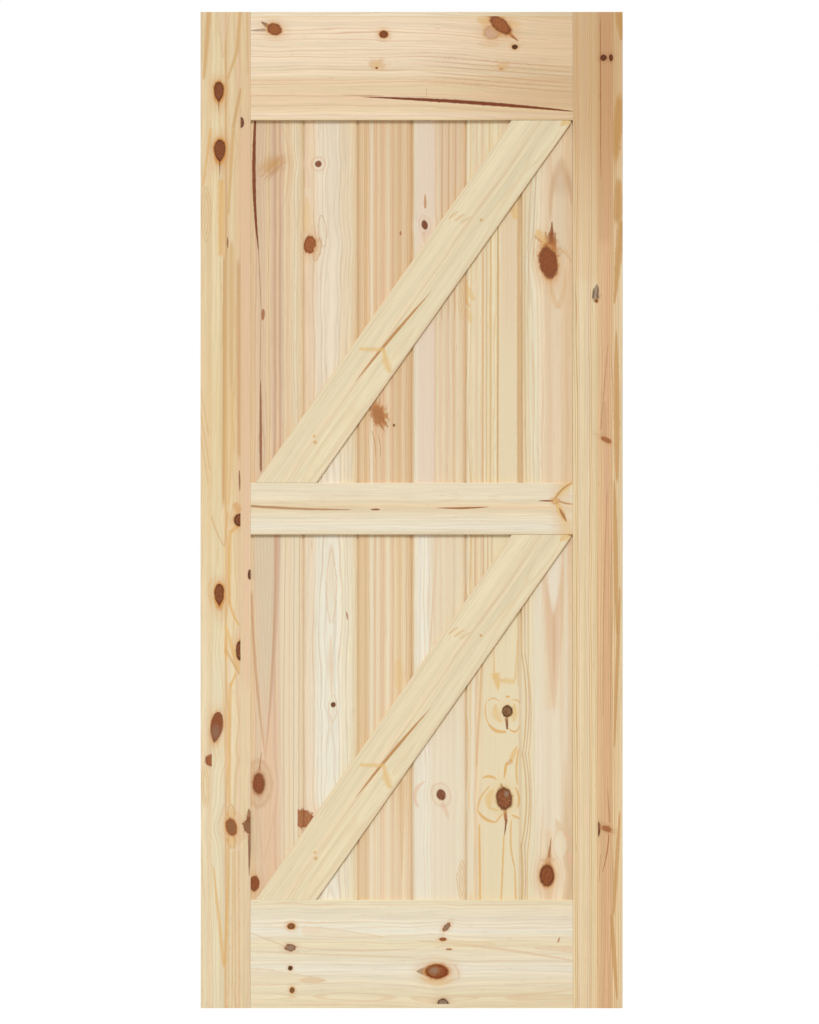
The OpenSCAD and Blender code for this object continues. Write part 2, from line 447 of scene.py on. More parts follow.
    def _knot(self) -> bpy.types.NodeTree:
        """A knot: oval or spade-shaped core with a dark rim and rings, in a glow of resin.

        Returns:
            The group's tree.
        """
        graph, given, result = new_group(
            "Knot",
            {"Color": "Color", "Core Mask": "Float", "Vector": "Vector", "Rough": "Float", "Grit": "Float",
             "Centre": "Vector", "Lean": "Float", "Half Width": "Float", "Rise": "Float", "Body": "Float",
             "Drop": "Float", "Tail": "Float", "Cut From": "Float", "Cut To": "Float", "Core Color": "Color",
             "Rim Color": "Color", "Core": "Float", "Soft": "Float", "Fray": "Float", "Halo Color": "Color",
             "Halo": "Float", "Ring Color": "Color", "Ring": "Float"},
            {"Color": "Color", "Core Mask": "Float"},
        )
        turned = graph.node("ShaderNodeVectorRotate", rotation_type="Y_AXIS")
        ordered = graph.vector("MULTIPLY_ADD", given["Color"], self.TRACE, given["Vector"])
        graph.fill(turned, {"Vector": ordered, "Center": given["Centre"], "Angle": given["Lean"]})
        across, _, along = graph.split(graph.vector("SUBTRACT", turned.outputs[0], given["Centre"]))
        side = graph.math("DIVIDE", graph.math("ABSOLUTE", across), given["Half Width"])
        up = graph.math("DIVIDE", graph.math("MAXIMUM", along, 0.0), given["Rise"])
        under = graph.math("MAXIMUM", graph.times(along, -1.0), 0.0)
        below = graph.math("DIVIDE", under, given["Body"])
        oval = graph.math("MULTIPLY_ADD", side, side, graph.times(up, up))
        oval = graph.math("SQRT", graph.math("MULTIPLY_ADD", below, below, oval))
        top = graph.math("SQRT", graph.math("SUBTRACT", 1.0, graph.times(up, up), clamp=True))
        spade = graph.math("SUBTRACT", 1.0, graph.math("POWER", below, self.SPADE_POWER), clamp=True)
        thread = graph.math("SUBTRACT", 1.0, graph.math("DIVIDE", under, given["Drop"]), clamp=True)
        thread = graph.times(thread, self.THREAD_WIDTH)
        profile = graph.times(top, graph.math("MAXIMUM", spade, thread))
        tailed = graph.math("DIVIDE", graph.math("ADD", side, 0.01), graph.math("MAXIMUM", profile, 0.001))
        shape = graph.node("ShaderNodeMix", data_type="FLOAT")
        for index, value in ((0, given["Tail"]), (2, oval), (3, tailed)):
            graph.feed(shape.inputs[index], value)
        rough = graph.math("MULTIPLY_ADD", graph.math("SUBTRACT", given["Rough"], 0.5), given["Fray"], 1.0)
        edge = graph.times(shape.outputs[0], rough)
        core = graph.smooth(edge, graph.math("ADD", 1.0, given["Soft"]),
                            graph.math("SUBTRACT", 1.0, given["Soft"]))
        place = graph.split(given["Vector"])[0]
        kept = graph.times(graph.math("GREATER_THAN", place, given["Cut From"]),
                           graph.math("LESS_THAN", place, given["Cut To"]))
        frayed = graph.times(oval, rough)
        tight = graph.smooth(frayed, *self.TIGHT_HALO)
        wide = graph.times(graph.smooth(frayed, *self.WIDE_HALO), self.WIDE_SHARE)
        glow = graph.math("MULTIPLY_ADD", graph.times(tight, tight), self.TIGHT_SHARE, wide)
        glow = graph.times(graph.times(glow, kept), given["Halo"], clamp=True)
        colour = graph.blend(glow, given["Color"], given["Halo Color"])
        off_ring = graph.math("ABSOLUTE", graph.math("SUBTRACT", frayed, self.RING_RADIUS))
        ring = graph.times(graph.smooth(off_ring, *self.RING_EDGE), given["Ring"])
        colour = graph.blend(ring, colour, given["Ring Color"])
        wave = graph.times(given["Rough"], self.WAVE_FRAY)
        wave = graph.math("SINE", graph.math("MULTIPLY_ADD", oval, self.CORE_WAVES, wave))
        rim = graph.times(graph.smooth(oval, *self.RIM_EDGE), self.RIM_SHARE)
        mottle = graph.math("MULTIPLY_ADD", graph.math("SUBTRACT", given["Grit"], 0.5), self.MOTTLE, rim)
        mottle = graph.math("MULTIPLY_ADD", wave, self.WAVE_SHARE,
                            graph.math("ADD", mottle, self.MOTTLE_BASE), clamp=True)
        body = graph.blend(mottle, given["Core Color"], given["Rim Color"])
        fleck = graph.times(graph.smooth(given["Grit"], *self.FLECK_EDGE), self.FLECK_SHARE)
        body = graph.blend(fleck, body, given["Halo Color"])
        shown = graph.times(graph.times(core, kept), given["Core"])
        graph.feed(result.inputs["Color"], graph.blend(shown, colour, body))
        graph.feed(result.inputs["Core Mask"], graph.math("MAXIMUM", given["Core Mask"], shown))
        return graph.tree

    def _mark(self) -> bpy.types.NodeTree:
        """A tapered stroke along the grain, such as a pitch streak, a flame of late wood or nested arches.

        Returns:
            The group's tree.
        """
        graph, given, result = new_group(
            "Grain Mark",
            {"Color": "Color", "Vector": "Vector", "Rough": "Float", "Start": "Vector", "Turn": "Float",
             "Length": "Float", "Start Width": "Float", "Middle Width": "Float", "End Width": "Float",
             "Bow": "Float", "Soft": "Float", "Fray": "Float", "Fill Color": "Color", "Fill": "Float",
             "Line Color": "Color", "Line": "Float", "Gap": "Float", "Fade": "Float"},
            {"Color": "Color"},
        )
        turned = graph.node("ShaderNodeVectorRotate", rotation_type="Y_AXIS")
        ordered = graph.vector("MULTIPLY_ADD", given["Color"], self.TRACE, given["Vector"])
        graph.fill(turned, {"Vector": ordered, "Center": given["Start"], "Angle": given["Turn"]})
        across, _, run = graph.split(graph.vector("SUBTRACT", turned.outputs[0], given["Start"]))
        part = graph.math("DIVIDE", run, given["Length"])
        rest = graph.math("SUBTRACT", 1.0, part)
        arch = graph.times(graph.times(part, rest), 4.0)
        width = graph.math("MULTIPLY_ADD", given["Start Width"], rest, graph.math(
            "MULTIPLY_ADD", given["End Width"], part, graph.times(given["Middle Width"], arch)))
        width = graph.math("MAXIMUM", width, self.LEAST_WIDTH)
        bow = graph.times(given["Bow"], arch)
        off = graph.math("ABSOLUTE", graph.math("SUBTRACT", across, bow))
        rough = graph.math("MULTIPLY_ADD", graph.math("SUBTRACT", given["Rough"], 0.5), given["Fray"], 1.0)
        off = graph.times(off, rough)
        edge = graph.math("DIVIDE", off, width)
        before = graph.times(given["Fade"], -1.0)
        ends = graph.times(graph.smooth(part, before, given["Fade"]),
                           graph.smooth(rest, before, given["Fade"]))
        core = graph.smooth(edge, graph.math("ADD", 1.0, given["Soft"]),
                            graph.math("SUBTRACT", 1.0, given["Soft"]))
        filled = graph.blend(graph.times(graph.times(core, ends), given["Fill"]),
                             given["Color"], given["Fill Color"])
        inside = graph.math("SUBTRACT", width, off)
        beat = graph.math("SUBTRACT", graph.math(
            "FRACT", graph.math("ADD", graph.math("DIVIDE", inside, given["Gap"]), 0.5)), 0.5)
        from_line = graph.times(graph.math("ABSOLUTE", beat), given["Gap"])
        line = graph.times(graph.smooth(from_line, *self.LINE_EDGE), graph.smooth(inside, *self.LINE_OUTSIDE))
        line = graph.times(line, graph.times(ends, given["Line"]))
        graph.feed(result.inputs["Color"], graph.blend(line, filled, given["Line Color"]))
        return graph.tree


@dataclass(frozen=True)
class Knot:
    """One knot on the door's face, by its middle and its half sizes, in millimetres.

    On a slanted board, x is across and z is along the board. Soft is the blur of its edge and fray how ragged
    that is. Halo is the strength of the glow round it, and ring that of one ring further out. Lean is in
    degrees. A tail hangs down from it, push parts the grain beside it, and cut keeps it between two places
    across the board.
    """

    x: float
    z: float
    wide: float
    high: float
    core: Tone = Tone.UMBER
    rim: Tone = Tone.CHESTNUT
    strength: float = 0.96
    soft: float = 0.14
    fray: float = 0.35
    halo: float = 0.8
    glow: Tone = Tone.GINGER
    ring: float = 0.0
    ring_tone: Tone = Tone.ROSE
    lean: float = 0.0
    tail: float = 0.0
    push: float = 0.6
    cut: Point = (-FAR, FAR)


@dataclass(frozen=True)
class Mark:
    """One stroke of darker or paler wood, from start to end on the door's face, in millimetres.

    Widths are half widths at the start and the end, with the bulge in the middle between them. Soft is the
    blur of its edge and fray how ragged that is. Bow carries its middle sideways. Lines follow its edge
    inwards, a gap apart, and fade is the share of its length that an end takes to fade.
    """

    start: Point
    end: Point
    widths: tuple[float, float, float]
    tone: Tone
    fill: float = 0.8
    soft: float = 0.6
    fray: float = 0.7
    bow: float = 0.0
    line: float = 0.0
    line_tone: Tone = Tone.TAWNY
    gap: float = FAR
    fade: float = 0.03


@dataclass(frozen=True)
class PineFinish:
    """The face of one board: tones across it, its year rings, and its knots and marks.

    The pith is its place across the board and its distance behind the middle of the door's thickness, and it
    wanders in and out along the board. The grain sways slowly and wavers quickly. A bend carries it sideways
    between two places along the board. Strips are the glue lines of a board that is edge-glued. The tint
    gives the board's own colour towards its foot or left end. The top tint takes over towards its top or
    right end. It holds both the board's own tone and painted shade: on most boards it darkens the top of the
    door and its upper right corner.
    """

    lie: Lie
    tones: tuple[tuple[float, Tone], ...]
    seed: float
    pith: Point
    ring_gap: float = 7.0
    ring_tone: Tone = Tone.CLAY
    ring_strength: float = 0.5
    wander: float = 20.0
    sway: float = 4.0
    waver: float = 1.5
    tint: tuple[float, float, float] = (1.0, 1.0, 1.0)
    # Towards the top or right end: the board's own tone, and on most boards painted shade that darkens the
    # top of the door and its upper right corner.
    top_tint_and_painted_shade: tuple[float, float, float] = (1.0, 1.0, 1.0)
    bend: float = 0.0
    bend_span: Point = (0.0, 1.0)
    strips: tuple[float, ...] = ()
    knots: tuple[Knot, ...] = ()
    marks: tuple[Mark, ...] = ()


class PineMaterial:
    """Builds one board's material from its finish. Tint and shade spans are places along the board, in
    millimetres, where the tint gives way to the top tint with its painted shade.
    """

    ROUGHNESS = (0.62, 0.78)
    CORE_WEAR = -0.2
    SPECULAR = 0.1
    BUMP_STRENGTH = 0.35
    BUMP_DISTANCE = 0.0004
    STRIP_SHIFT = (61.0, 0.0, 410.0)
    SWAY_SCALE = (0.004, 0.004, 0.0019)
    WAVER_SCALE = (0.014, 0.014, 0.011)
    ROUGH_SCALE = (0.16, 0.16, 0.1)
    GRIT_SCALE = (0.34, 0.34, 0.26)
    GRAIN_SCALE = (0.9, 0.9, 0.02)
    STREAK_SHADE = 0.3
    FIBRE_SHADE = 0.3
    DASH_SHARE = 0.24
    FLOW_REACH = (2.0, 2.2)
    TAIL_BODY = 1.6
    # Along-board spans where the tint gives way to the top tint and its painted shade.
    TINT_AND_SHADE_SPANS = {Lie.UPRIGHT: (850.0, 1350.0), Lie.LEVEL: (60.0, -347.0), Lie.SLANTED: (-500.0, 500.0)}

    def __init__(self, name: str, finish: PineFinish, effects: PineEffects, middle: Point = (0.0, 0.0),
                 slope: float = 0.0) -> None:
        """Prepare the material.

        Args:
            name: The board's name.
            finish: What its face shows.
            effects: The shared shader groups.
            middle: The middle of a slanted board, as x and z in millimetres.
            slope: A slanted board's angle above level, in radians.
        """
        self.finish = finish
        self.effects = effects
        self.middle = middle
        self.slope = slope
        self.material = bpy.data.materials.new(f"pine_{name}")
        self.material.use_nodes = True
        self.graph = Graph(self.material.node_tree)

    def spot(self, x: float, z: float) -> tuple[float, float, float]:
        """A place on the door's face in board space.

        Args:
            x: Its place from left to right, or across a slanted board.
            z: Its height, or its place along a slanted board.

        Returns:
            Across, depth and along, in millimetres.
        """
        if self.finish.lie is Lie.LEVEL:
            return (z, 0.0, -x)
        return (x, 0.0, z)

    def board_space(self) -> Socket:
        """Turn object coordinates into across, depth and along, in millimetres.

        Returns:
            The vector's socket.
        """
        turns = {Lie.UPRIGHT: 0.0, Lie.LEVEL: math.pi / 2, Lie.SLANTED: self.slope - math.pi / 2}
        turn = turns[self.finish.lie]
        x, z = self.middle
        place = (-x * math.cos(turn) - z * math.sin(turn), 0.0, x * math.sin(turn) - z * math.cos(turn))
        source = self.graph.node("ShaderNodeTexCoord")
        mapping = self.graph.node("ShaderNodeMapping")
        self.graph.fill(mapping, {"Vector": source.outputs["Object"], "Location": place,
                                  "Rotation": (0.0, turn, 0.0), "Scale": (1.0 / MM,) * 3})
        return mapping.outputs[0]

    def flowed(self, space: Socket) -> Socket:
        """Sway the grain slowly along the board, waver it a little, and part it round the knots.

        Args:
            space: Board space.

        Returns:
            Board space that follows the grain.
        """
        graph, finish = self.graph, self.finish
        slow = graph.vector("MULTIPLY_ADD", space, self.SWAY_SCALE, (finish.seed, 0.0, 0.0))
        sway = graph.math("SUBTRACT", graph.noise(slow, 1.0), 0.5)
        sway = graph.times(sway, 2.0 * finish.sway)
        quick = graph.vector("MULTIPLY_ADD", space, self.WAVER_SCALE, (0.0, finish.seed, 0.0))
        waver = graph.math("SUBTRACT", graph.noise(quick, 1.0), 0.5)
        shift = graph.math("ADD", sway, graph.times(waver, 2.0 * finish.waver))
        if finish.bend:
            bent = graph.smooth(graph.split(space)[2], *finish.bend_span)
            shift = graph.math("MULTIPLY_ADD", bent, finish.bend, shift)
        moved = graph.vector("ADD", space, graph.join(shift, 0.0, 0.0))
        reach, run = self.FLOW_REACH
        for knot in finish.knots:
            wide, high = self.sizes(knot)
            if knot.push:
                moved = graph.use(self.effects.flow, Vector=moved, Centre=self.spot(knot.x, knot.z),
                                  Reach=reach * wide, Run=run * high, Push=knot.push * wide).outputs[0]
        return moved

    def stripped(self, space: Socket, grain: Socket) -> Socket:
        """Start the grain afresh on each glued strip.

        Args:
            space: Board space.
            grain: Board space that follows the grain.

        Returns:
            The grain with a jump at every glue line.
        """
        across = self.graph.split(space)[0]
        for strip in self.finish.strips:
            past = self.graph.math("GREATER_THAN", across, strip)
            step = self.graph.vector("MULTIPLY", self.graph.join(past, past, past), self.STRIP_SHIFT)
            grain = self.graph.vector("ADD", grain, step)
        return grain

    def sizes(self, knot: Knot) -> Point:
        """A knot's half sizes across and along its board.

        Args:
            knot: The knot.

        Returns:
            The half sizes, in millimetres.
        """
        if self.finish.lie is Lie.LEVEL:
            return (knot.high, knot.wide)
        return (knot.wide, knot.high)

    def toned(self, grain: Socket) -> Socket:
        """Look up the board's tones across the flowing grain.

        Args:
            grain: Board space that follows the grain, or plain board space.

        Returns:
            The colour's socket.
        """
        stops = self.finish.tones
        low, high = stops[0][0], stops[-1][0]
        across = self.graph.split(grain)[0]
        ramp = self.graph.node("ShaderNodeValToRGB")
        ramp.color_ramp.interpolation = "EASE"
        points = ramp.color_ramp.elements
        while len(points) < len(stops):
            points.new(1.0)
        for point, (place, tone) in zip(points, stops):
            point.position = (place - low) / (high - low)
            point.color = tone.linear
        span = self.graph.math("DIVIDE", self.graph.math("SUBTRACT", across, low), high - low)
        self.graph.feed(ramp.inputs[0], span)
        return ramp.outputs[0]

    def marked(self, colour: Socket, space: Socket, rough: Socket) -> Socket:
        """Lay the finish's marks over a colour.

        Args:
            colour: The wood under them.
            space: Board space.
            rough: Noise that frays their edges.

        Returns:
            The colour with marks.
        """
        for mark in self.finish.marks:
            start, end = Vector(self.spot(*mark.start)), Vector(self.spot(*mark.end))
            way = (end - start).normalized()
            colour = self.graph.use(
                self.effects.mark, Color=colour, Vector=space, Rough=rough, Start=tuple(start),
                Turn=math.atan2(-way.x, way.z), Length=(end - start).length, Start_Width=mark.widths[0],
                Middle_Width=mark.widths[1], End_Width=mark.widths[2], Bow=mark.bow, Soft=mark.soft,
                Fray=mark.fray, Fill_Color=mark.tone.linear, Fill=mark.fill,
                Line_Color=mark.line_tone.linear, Line=mark.line, Gap=mark.gap, Fade=mark.fade,
            ).outputs[0]
        return colour

    def knotted(self, colour: Socket, space: Socket, rough: Socket, grit: Socket) -> tuple[Socket, Value]:
        """Lay the finish's knots over a colour.

        Args:
            colour: The wood under them.
            space: Board space.
            rough: Noise that frays their edges.
            grit: Finer noise that mottles their cores.

        Returns:
            The colour with knots, and the mask of their cores.
        """
        mask: Value = 0.0
        for knot in self.finish.knots:
            wide, high = self.sizes(knot)
            made = self.graph.use(
                self.effects.knot, Color=colour, Core_Mask=mask, Vector=space, Rough=rough, Grit=grit,
                Centre=self.spot(knot.x, knot.z), Lean=math.radians(knot.lean), Half_Width=wide, Rise=high,
                Body=self.TAIL_BODY * high if knot.tail else high, Drop=knot.tail or high,
                Tail=1.0 if knot.tail else 0.0, Cut_From=knot.cut[0], Cut_To=knot.cut[1],
                Core_Color=knot.core.linear, Rim_Color=knot.rim.linear, Core=knot.strength, Soft=knot.soft,
                Fray=knot.fray, Halo_Color=knot.glow.linear, Halo=knot.halo,
                Ring_Color=knot.ring_tone.linear, Ring=knot.ring,
            )
            colour, mask = made.outputs[0], made.outputs[1]
        return colour, mask

    def build(self) -> bpy.types.Material:
        """Put the material together.

        Returns:
            The finished material.
        """
        graph, finish = self.graph, self.finish
        graph.tree.nodes.clear()
        space = self.board_space()
        flowing = self.flowed(space)
        grain = self.stripped(space, flowing)
        fibre = graph.use(self.effects.fibre, Vector=grain, Seed=finish.seed)
        rings = graph.use(self.effects.rings, Vector=grain, Pith=(finish.pith[0], -finish.pith[1], 0.0),
                          Spacing=finish.ring_gap, Wander=finish.wander, Seed=finish.seed)
        streak = graph.math("SUBTRACT", fibre.outputs["Streak"], 0.5)
        shade = graph.math("MULTIPLY_ADD", streak, self.STREAK_SHADE, 1.0)
        fine = graph.math("SUBTRACT", fibre.outputs["Fibre"], 0.5)
        shade = graph.math("ADD", shade, graph.times(fine, self.FIBRE_SHADE))
        base = self.toned(space if finish.strips else flowing)
        # Painted shade: along the board the colour moves from the tint to the top tint, darker on most boards
        # towards the top of the door and its upper right corner.
        height = graph.smooth(graph.split(space)[2], *self.TINT_AND_SHADE_SPANS[finish.lie])
        shaded = graph.node("ShaderNodeVectorMath", operation="SCALE")
        graph.fill(shaded, {"Vector": graph.blend(height, (*finish.tint, 1.0), (*finish.top_tint_and_painted_shade, 1.0)),
                            "Scale": shade})
        colour = graph.blend(1.0, base, shaded.outputs[0], "MULTIPLY")
        line = graph.times(rings.outputs["Latewood"], finish.ring_strength)
        colour = graph.blend(line, colour, finish.ring_tone.linear)
        dash = graph.times(fibre.outputs["Dash"], self.DASH_SHARE)
        colour = graph.blend(dash, colour, Tone.TAWNY.linear)
        rough = graph.noise(graph.vector("MULTIPLY", space, self.ROUGH_SCALE), 2.0, 0.6)
        grit = graph.noise(graph.vector("MULTIPLY", space, self.GRIT_SCALE), 2.0, 0.6)
        colour = self.marked(colour, space, rough)
        colour, core = self.knotted(colour, space, rough, grit)

        skin = graph.node("ShaderNodeMapRange")
        worn = graph.math("MULTIPLY_ADD", core, self.CORE_WEAR, fibre.outputs["Fibre"])
        for socket, value in zip(skin.inputs, (worn, *NOISE_SPAN, *self.ROUGHNESS)):
            graph.feed(socket, value)
        relief = graph.noise(graph.vector("MULTIPLY", space, self.GRAIN_SCALE), 2.0, 0.6)
        bump = graph.node("ShaderNodeBump")
        graph.fill(bump, {"Strength": self.BUMP_STRENGTH, "Distance": self.BUMP_DISTANCE, "Height": relief})
        surface = graph.node("ShaderNodeBsdfPrincipled")
        graph.fill(surface, {"Base Color": colour, "Roughness": skin.outputs[0], "Normal": bump.outputs[0],
                             "Specular IOR Level": self.SPECULAR})
        output = graph.node("ShaderNodeOutputMaterial")
        graph.feed(output.inputs[0], surface.outputs[0])
        return self.material


@dataclass(frozen=True)
class Board:
    """A CAD board and the finish on it."""

    node: str
    finish: PineFinish

    def dress(self, effects: PineEffects) -> None:
        """Give the board's object its pine material.

        Args:
            effects: The shared shader groups.
        """
        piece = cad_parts[self.node]
        low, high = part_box(self.node)
        middle = ((low.x + high.x) / 2 / MM, (low.z + high.z) / 2 / MM)
        slanted = self.finish.lie is Lie.SLANTED
        slope = math.atan2(high.z - low.z, (high.x - low.x) - Braces.END_CUT * MM) if slanted else 0.0
        maker = PineMaterial(self.node, self.finish, effects, middle if slanted else (0.0, 0.0), slope)
        piece.data.materials.clear()
        piece.data.materials.append(maker.build())
        log.info("board %s: %d knots, %d marks", self.node, len(self.finish.knots), len(self.finish.marks))


class Braces:
    """The two slanted boards, cut from one pattern. Their marks are placed across and along the board."""

    END_CUT = 127.0
    FINISH = PineFinish(
        lie=Lie.SLANTED, seed=31.0, pith=(34, 46), ring_gap=6.5, ring_tone=Tone.OCHRE, ring_strength=0.34,
        wander=22.0, sway=2.0, waver=1.2,
        tones=((-54, Tone.STRAW), (-40, Tone.LEMON), (-20, Tone.LEMON), (0, Tone.STRAW), (12, Tone.LEMON),
               (30, Tone.LEMON), (44, Tone.LEMON), (54, Tone.STRAW)),
        knots=(
            Knot(18, 227, 2.6, 2.6, Tone.OCHRE, Tone.TAWNY, 0.8, 0.3, halo=0.3, push=0),
            Knot(-6, -358, 2.4, 2.4, Tone.MARIGOLD, Tone.OCHRE, 0.7, 0.6, halo=0.3, push=0),
            Knot(3, -367, 3, 3, Tone.MARIGOLD, Tone.TOFFEE, 0.75, 0.6, halo=0.3, push=0),
        ),
        marks=(
            Mark((-2, -212), (19, 36), (0.3, 2.8, 0.3), Tone.TAWNY, 0.95, 0.35, bow=-2),
            Mark((-36, -150), (10, -119), (2.6, 1.2, 3), Tone.APRICOT, 0.7, 0.9, 1.9),
            Mark((8, -119), (48, -152), (2, 2.4, 5), Tone.APRICOT, 0.75, 0.9, 1.9, bow=3),
            Mark((-40, 190), (-33, 214), (2, 1, 1), Tone.OCHRE, 0.5, 0.7),
            Mark((-27, 192), (-18, 218), (2, 1, 1), Tone.OCHRE, 0.5, 0.7),
            Mark((-14, 196), (-4, 220), (2, 1, 1), Tone.OCHRE, 0.4, 0.7),
            Mark((40, 490), (54, 534), (2, 4, 9), Tone.APRICOT, 0.8, 0.8, 1.4),
            Mark((49, 510), (56, 534), (1.5, 2, 6), Tone.TAWNY, 0.85, 0.6, 1.6),
        ),
    )

    @classmethod
    def boards(cls) -> list[Board]:
        """Both braces."""
        return [Board("upper_brace", cls.FINISH), Board("lower_brace", cls.FINISH)]


class Stiles:
    """The two upright frame boards, each edge-glued from strips."""

    LEFT = PineFinish(
        lie=Lie.UPRIGHT, seed=3.0, tint=(1.0, 1.02, 1.03), top_tint_and_painted_shade=(0.97, 0.93, 0.87), pith=(-424, 30),
        ring_gap=10.0, ring_tone=Tone.OCHRE, ring_strength=0.5, sway=2.5, strips=(-428, -400, -366.5),
        tones=((-452, Tone.STRAW), (-444, Tone.STRAW), (-434, Tone.HONEY), (-428.5, Tone.HONEY),
               (-427.5, Tone.LEMON), (-412, Tone.LEMON), (-402, Tone.STRAW), (-400.5, Tone.HONEY),
               (-399.5, Tone.AMBER), (-392, Tone.HONEY), (-385, Tone.STRAW), (-377, Tone.HONEY),
               (-371, Tone.BLUSH), (-367, Tone.SAND), (-366, Tone.HONEY), (-354, Tone.HONEY),
               (-349, Tone.BLUSH), (-345, Tone.HONEY)),
        knots=(
            Knot(-413, 1968, 10.7, 17, tail=59, halo=1.1),
            Knot(-411, 1842, 12.5, 19, tail=80, halo=1.1),
            Knot(-412, 891, 10.5, 18.5, tail=42, halo=1.1),
            Knot(-417, 609, 13.4, 26, Tone.RUSSET, Tone.UMBER, tail=46, lean=-8, halo=0.6),
            Knot(-420, 592, 8, 13, Tone.SLATE, Tone.SLATE, 0.45, 0.9, halo=0, lean=-8, push=0),
            Knot(-366.5, 1897, 7.5, 12, Tone.UMBER, Tone.BARK, cut=(-366.5, FAR), glow=Tone.ROSE),
            Knot(-367, 1046, 14, 14, Tone.UMBER, Tone.BARK, cut=(-FAR, -366.5)),
            Knot(-367, 766, 9.5, 21, Tone.UMBER, Tone.BARK, cut=(-FAR, -366.5)),
            Knot(-429, 531, 13, 13, Tone.RUST, Tone.RUSSET, cut=(-FAR, -428), glow=Tone.ROSE),
            Knot(-386, 388, 12, 19, Tone.WALNUT, Tone.RUSSET, 0.88, lean=12, ring=0.3),
            Knot(-345, 391, 15, 19, Tone.WALNUT, Tone.UMBER, 0.9, halo=0.3, fray=1),
            Knot(-347, 929, 4, 11, Tone.CHESTNUT, Tone.BARK, halo=0.2),
        ),
        marks=(
            Mark((-410, 1400), (-410, 800), (45, 0, 45), Tone.APRICOT, 0.2, 0.2, 0.2, fade=0.3),
            Mark((-356, 1890), (-356, 690), (10, 0, 8), Tone.PETAL, 0.6, 0.3, 0.3),
            Mark((-403, 2145), (-404, 2036), (15, 0, 1), Tone.BLUSH, 0.6, 0.5, line=0.4,
                 line_tone=Tone.OCHRE),
            Mark((-433, 2150), (-445, 1990), (5, 1, 2.5), Tone.OCHRE, 0.85, 0.7),
            Mark((-366, 2150), (-374, 2050), (3, 0, 3.5), Tone.OCHRE, 0.8, 0.7),
            Mark((-374, 2050), (-394, 1990), (3.5, 0, 2), Tone.OCHRE, 0.8, 0.7),
            Mark((-353, 2140), (-350, 2000), (1.2, 0.5, 1.2), Tone.OCHRE, 0.6),
            Mark((-366, 1970), (-382, 1885), (2.4, 0, 3.5), Tone.TOFFEE, 0.6, 0.7),
            Mark((-382, 1885), (-393, 1700), (3.5, 0.5, 2), Tone.OCHRE, 0.8, 0.7),
            Mark((-430, 1885), (-447, 1762), (3, 0, 2), Tone.MARIGOLD, 0.6, 0.7),
            Mark((-408, 1775), (-408, 1612), (6.5, 1, 6), Tone.MARIGOLD, 0.6, 0.5),
            Mark((-440, 1760), (-440, 1640), (1, 9, 1), Tone.LEMON, 0.2, 0.4, line=0.6,
                 line_tone=Tone.OCHRE, gap=5),
            Mark((-396, 1785), (-396, 1610), (0.6, 0, 0.6), Tone.CLAY, 0.5, 0.5, 0.3),
            Mark((-394, 1652), (-394, 1628), (0.4, 1.2, 0.4), Tone.UMBER, 0.8, 0.4),
            Mark((-402, 1610), (-403, 1080), (1.8, 0.4, 2.6), Tone.TOFFEE, 0.7, 0.6, 0.3),
            Mark((-386, 1640), (-386, 1330), (4, 1, 3), Tone.OCHRE, 0.7, 0.8, 0.4),
            Mark((-386, 1330), (-392, 1080), (3, 0.5, 2), Tone.MARIGOLD, 0.45, 0.8, 0.4, bow=-3),
            Mark((-371, 1600), (-370, 1180), (4, 0.5, 3), Tone.TAWNY, 0.5, 0.8, 0.6),
            Mark((-369, 1152), (-368, 1108), (1, 1, 0.6), Tone.UMBER, 0.8, 0.4),
            Mark((-455, 1340), (-434, 1225), (1.4, 0, 1.4), Tone.OCHRE, 0.5),
            Mark((-455, 1296), (-432, 1153), (1.4, 0, 1.4), Tone.OCHRE, 0.5),
            Mark((-455, 1250), (-436, 1125), (1.4, 0, 1.4), Tone.OCHRE, 0.5),
            Mark((-429, 1056), (-402, 990), (2, 0, 1.5), Tone.OCHRE, 0.6, 0.7, bow=3),
            Mark((-394, 1062), (-401, 990), (2, 0, 1.5), Tone.OCHRE, 0.6, 0.7),
            Mark((-380, 1082), (-368, 1064), (5, 3, 5), Tone.GINGER, 0.5),
            Mark((-368, 1046), (-388, 1020), (2.5, 1, 3), Tone.MARIGOLD, 0.65, bow=-3),
            Mark((-388, 1024), (-390, 866), (3, 1, 3), Tone.MARIGOLD, 0.65, 0.7, bow=2),
            Mark((-390, 870), (-369, 820), (3, 0, 2.5), Tone.MARIGOLD, 0.65, bow=3),
            Mark((-399, 820), (-369, 722), (3, 1.5, 2), Tone.APRICOT, 0.8),
            Mark((-398, 800), (-398, 745), (1, 2.5, 1), Tone.MARIGOLD, 0.65),
            Mark((-399, 770), (-369, 716), (1.5, 1, 2), Tone.OCHRE, 0.75, 0.5),
            Mark((-376, 718), (-388, 690), (2.5, 0, 3), Tone.MARIGOLD, 0.65),
            Mark((-388, 696), (-390, 436), (3.5, 1, 3), Tone.MARIGOLD, 0.6, 0.7, bow=2),
            Mark((-444, 520), (-440, 430), (2, 6, 2), Tone.LEMON, 0.2, 0.4, line=0.6, line_tone=Tone.OCHRE,
                 gap=4.5),
            Mark((-425, 305), (-402, 90), (1.5, 1, 3), Tone.MARIGOLD, 0.6, 0.7),
            Mark((-393, 420), (-402, 90), (1.2, 1, 2), Tone.MARIGOLD, 0.6, 0.7, bow=-4),
            Mark((-381, 340), (-381, -5), (10, 0, 12), Tone.HONEY, 0.2, 0.4, line=0.55,
                 line_tone=Tone.OCHRE, gap=8),
            Mark((-347, 372), (-348, 284), (3.4, 0.5, 0.4), Tone.UMBER, 0.85, 0.4),
            Mark((-349, 428), (-346, 398), (0.5, 2, 7), Tone.UMBER, 0.8, 0.4),
            Mark((-386, 366), (-384, 342), (7, 3, 2), Tone.APRICOT, 0.6, line=0.5),
            Mark((-388, 438), (-386, 412), (1, 3, 7), Tone.APRICOT, 0.5, line=0.5),
        ),
    )
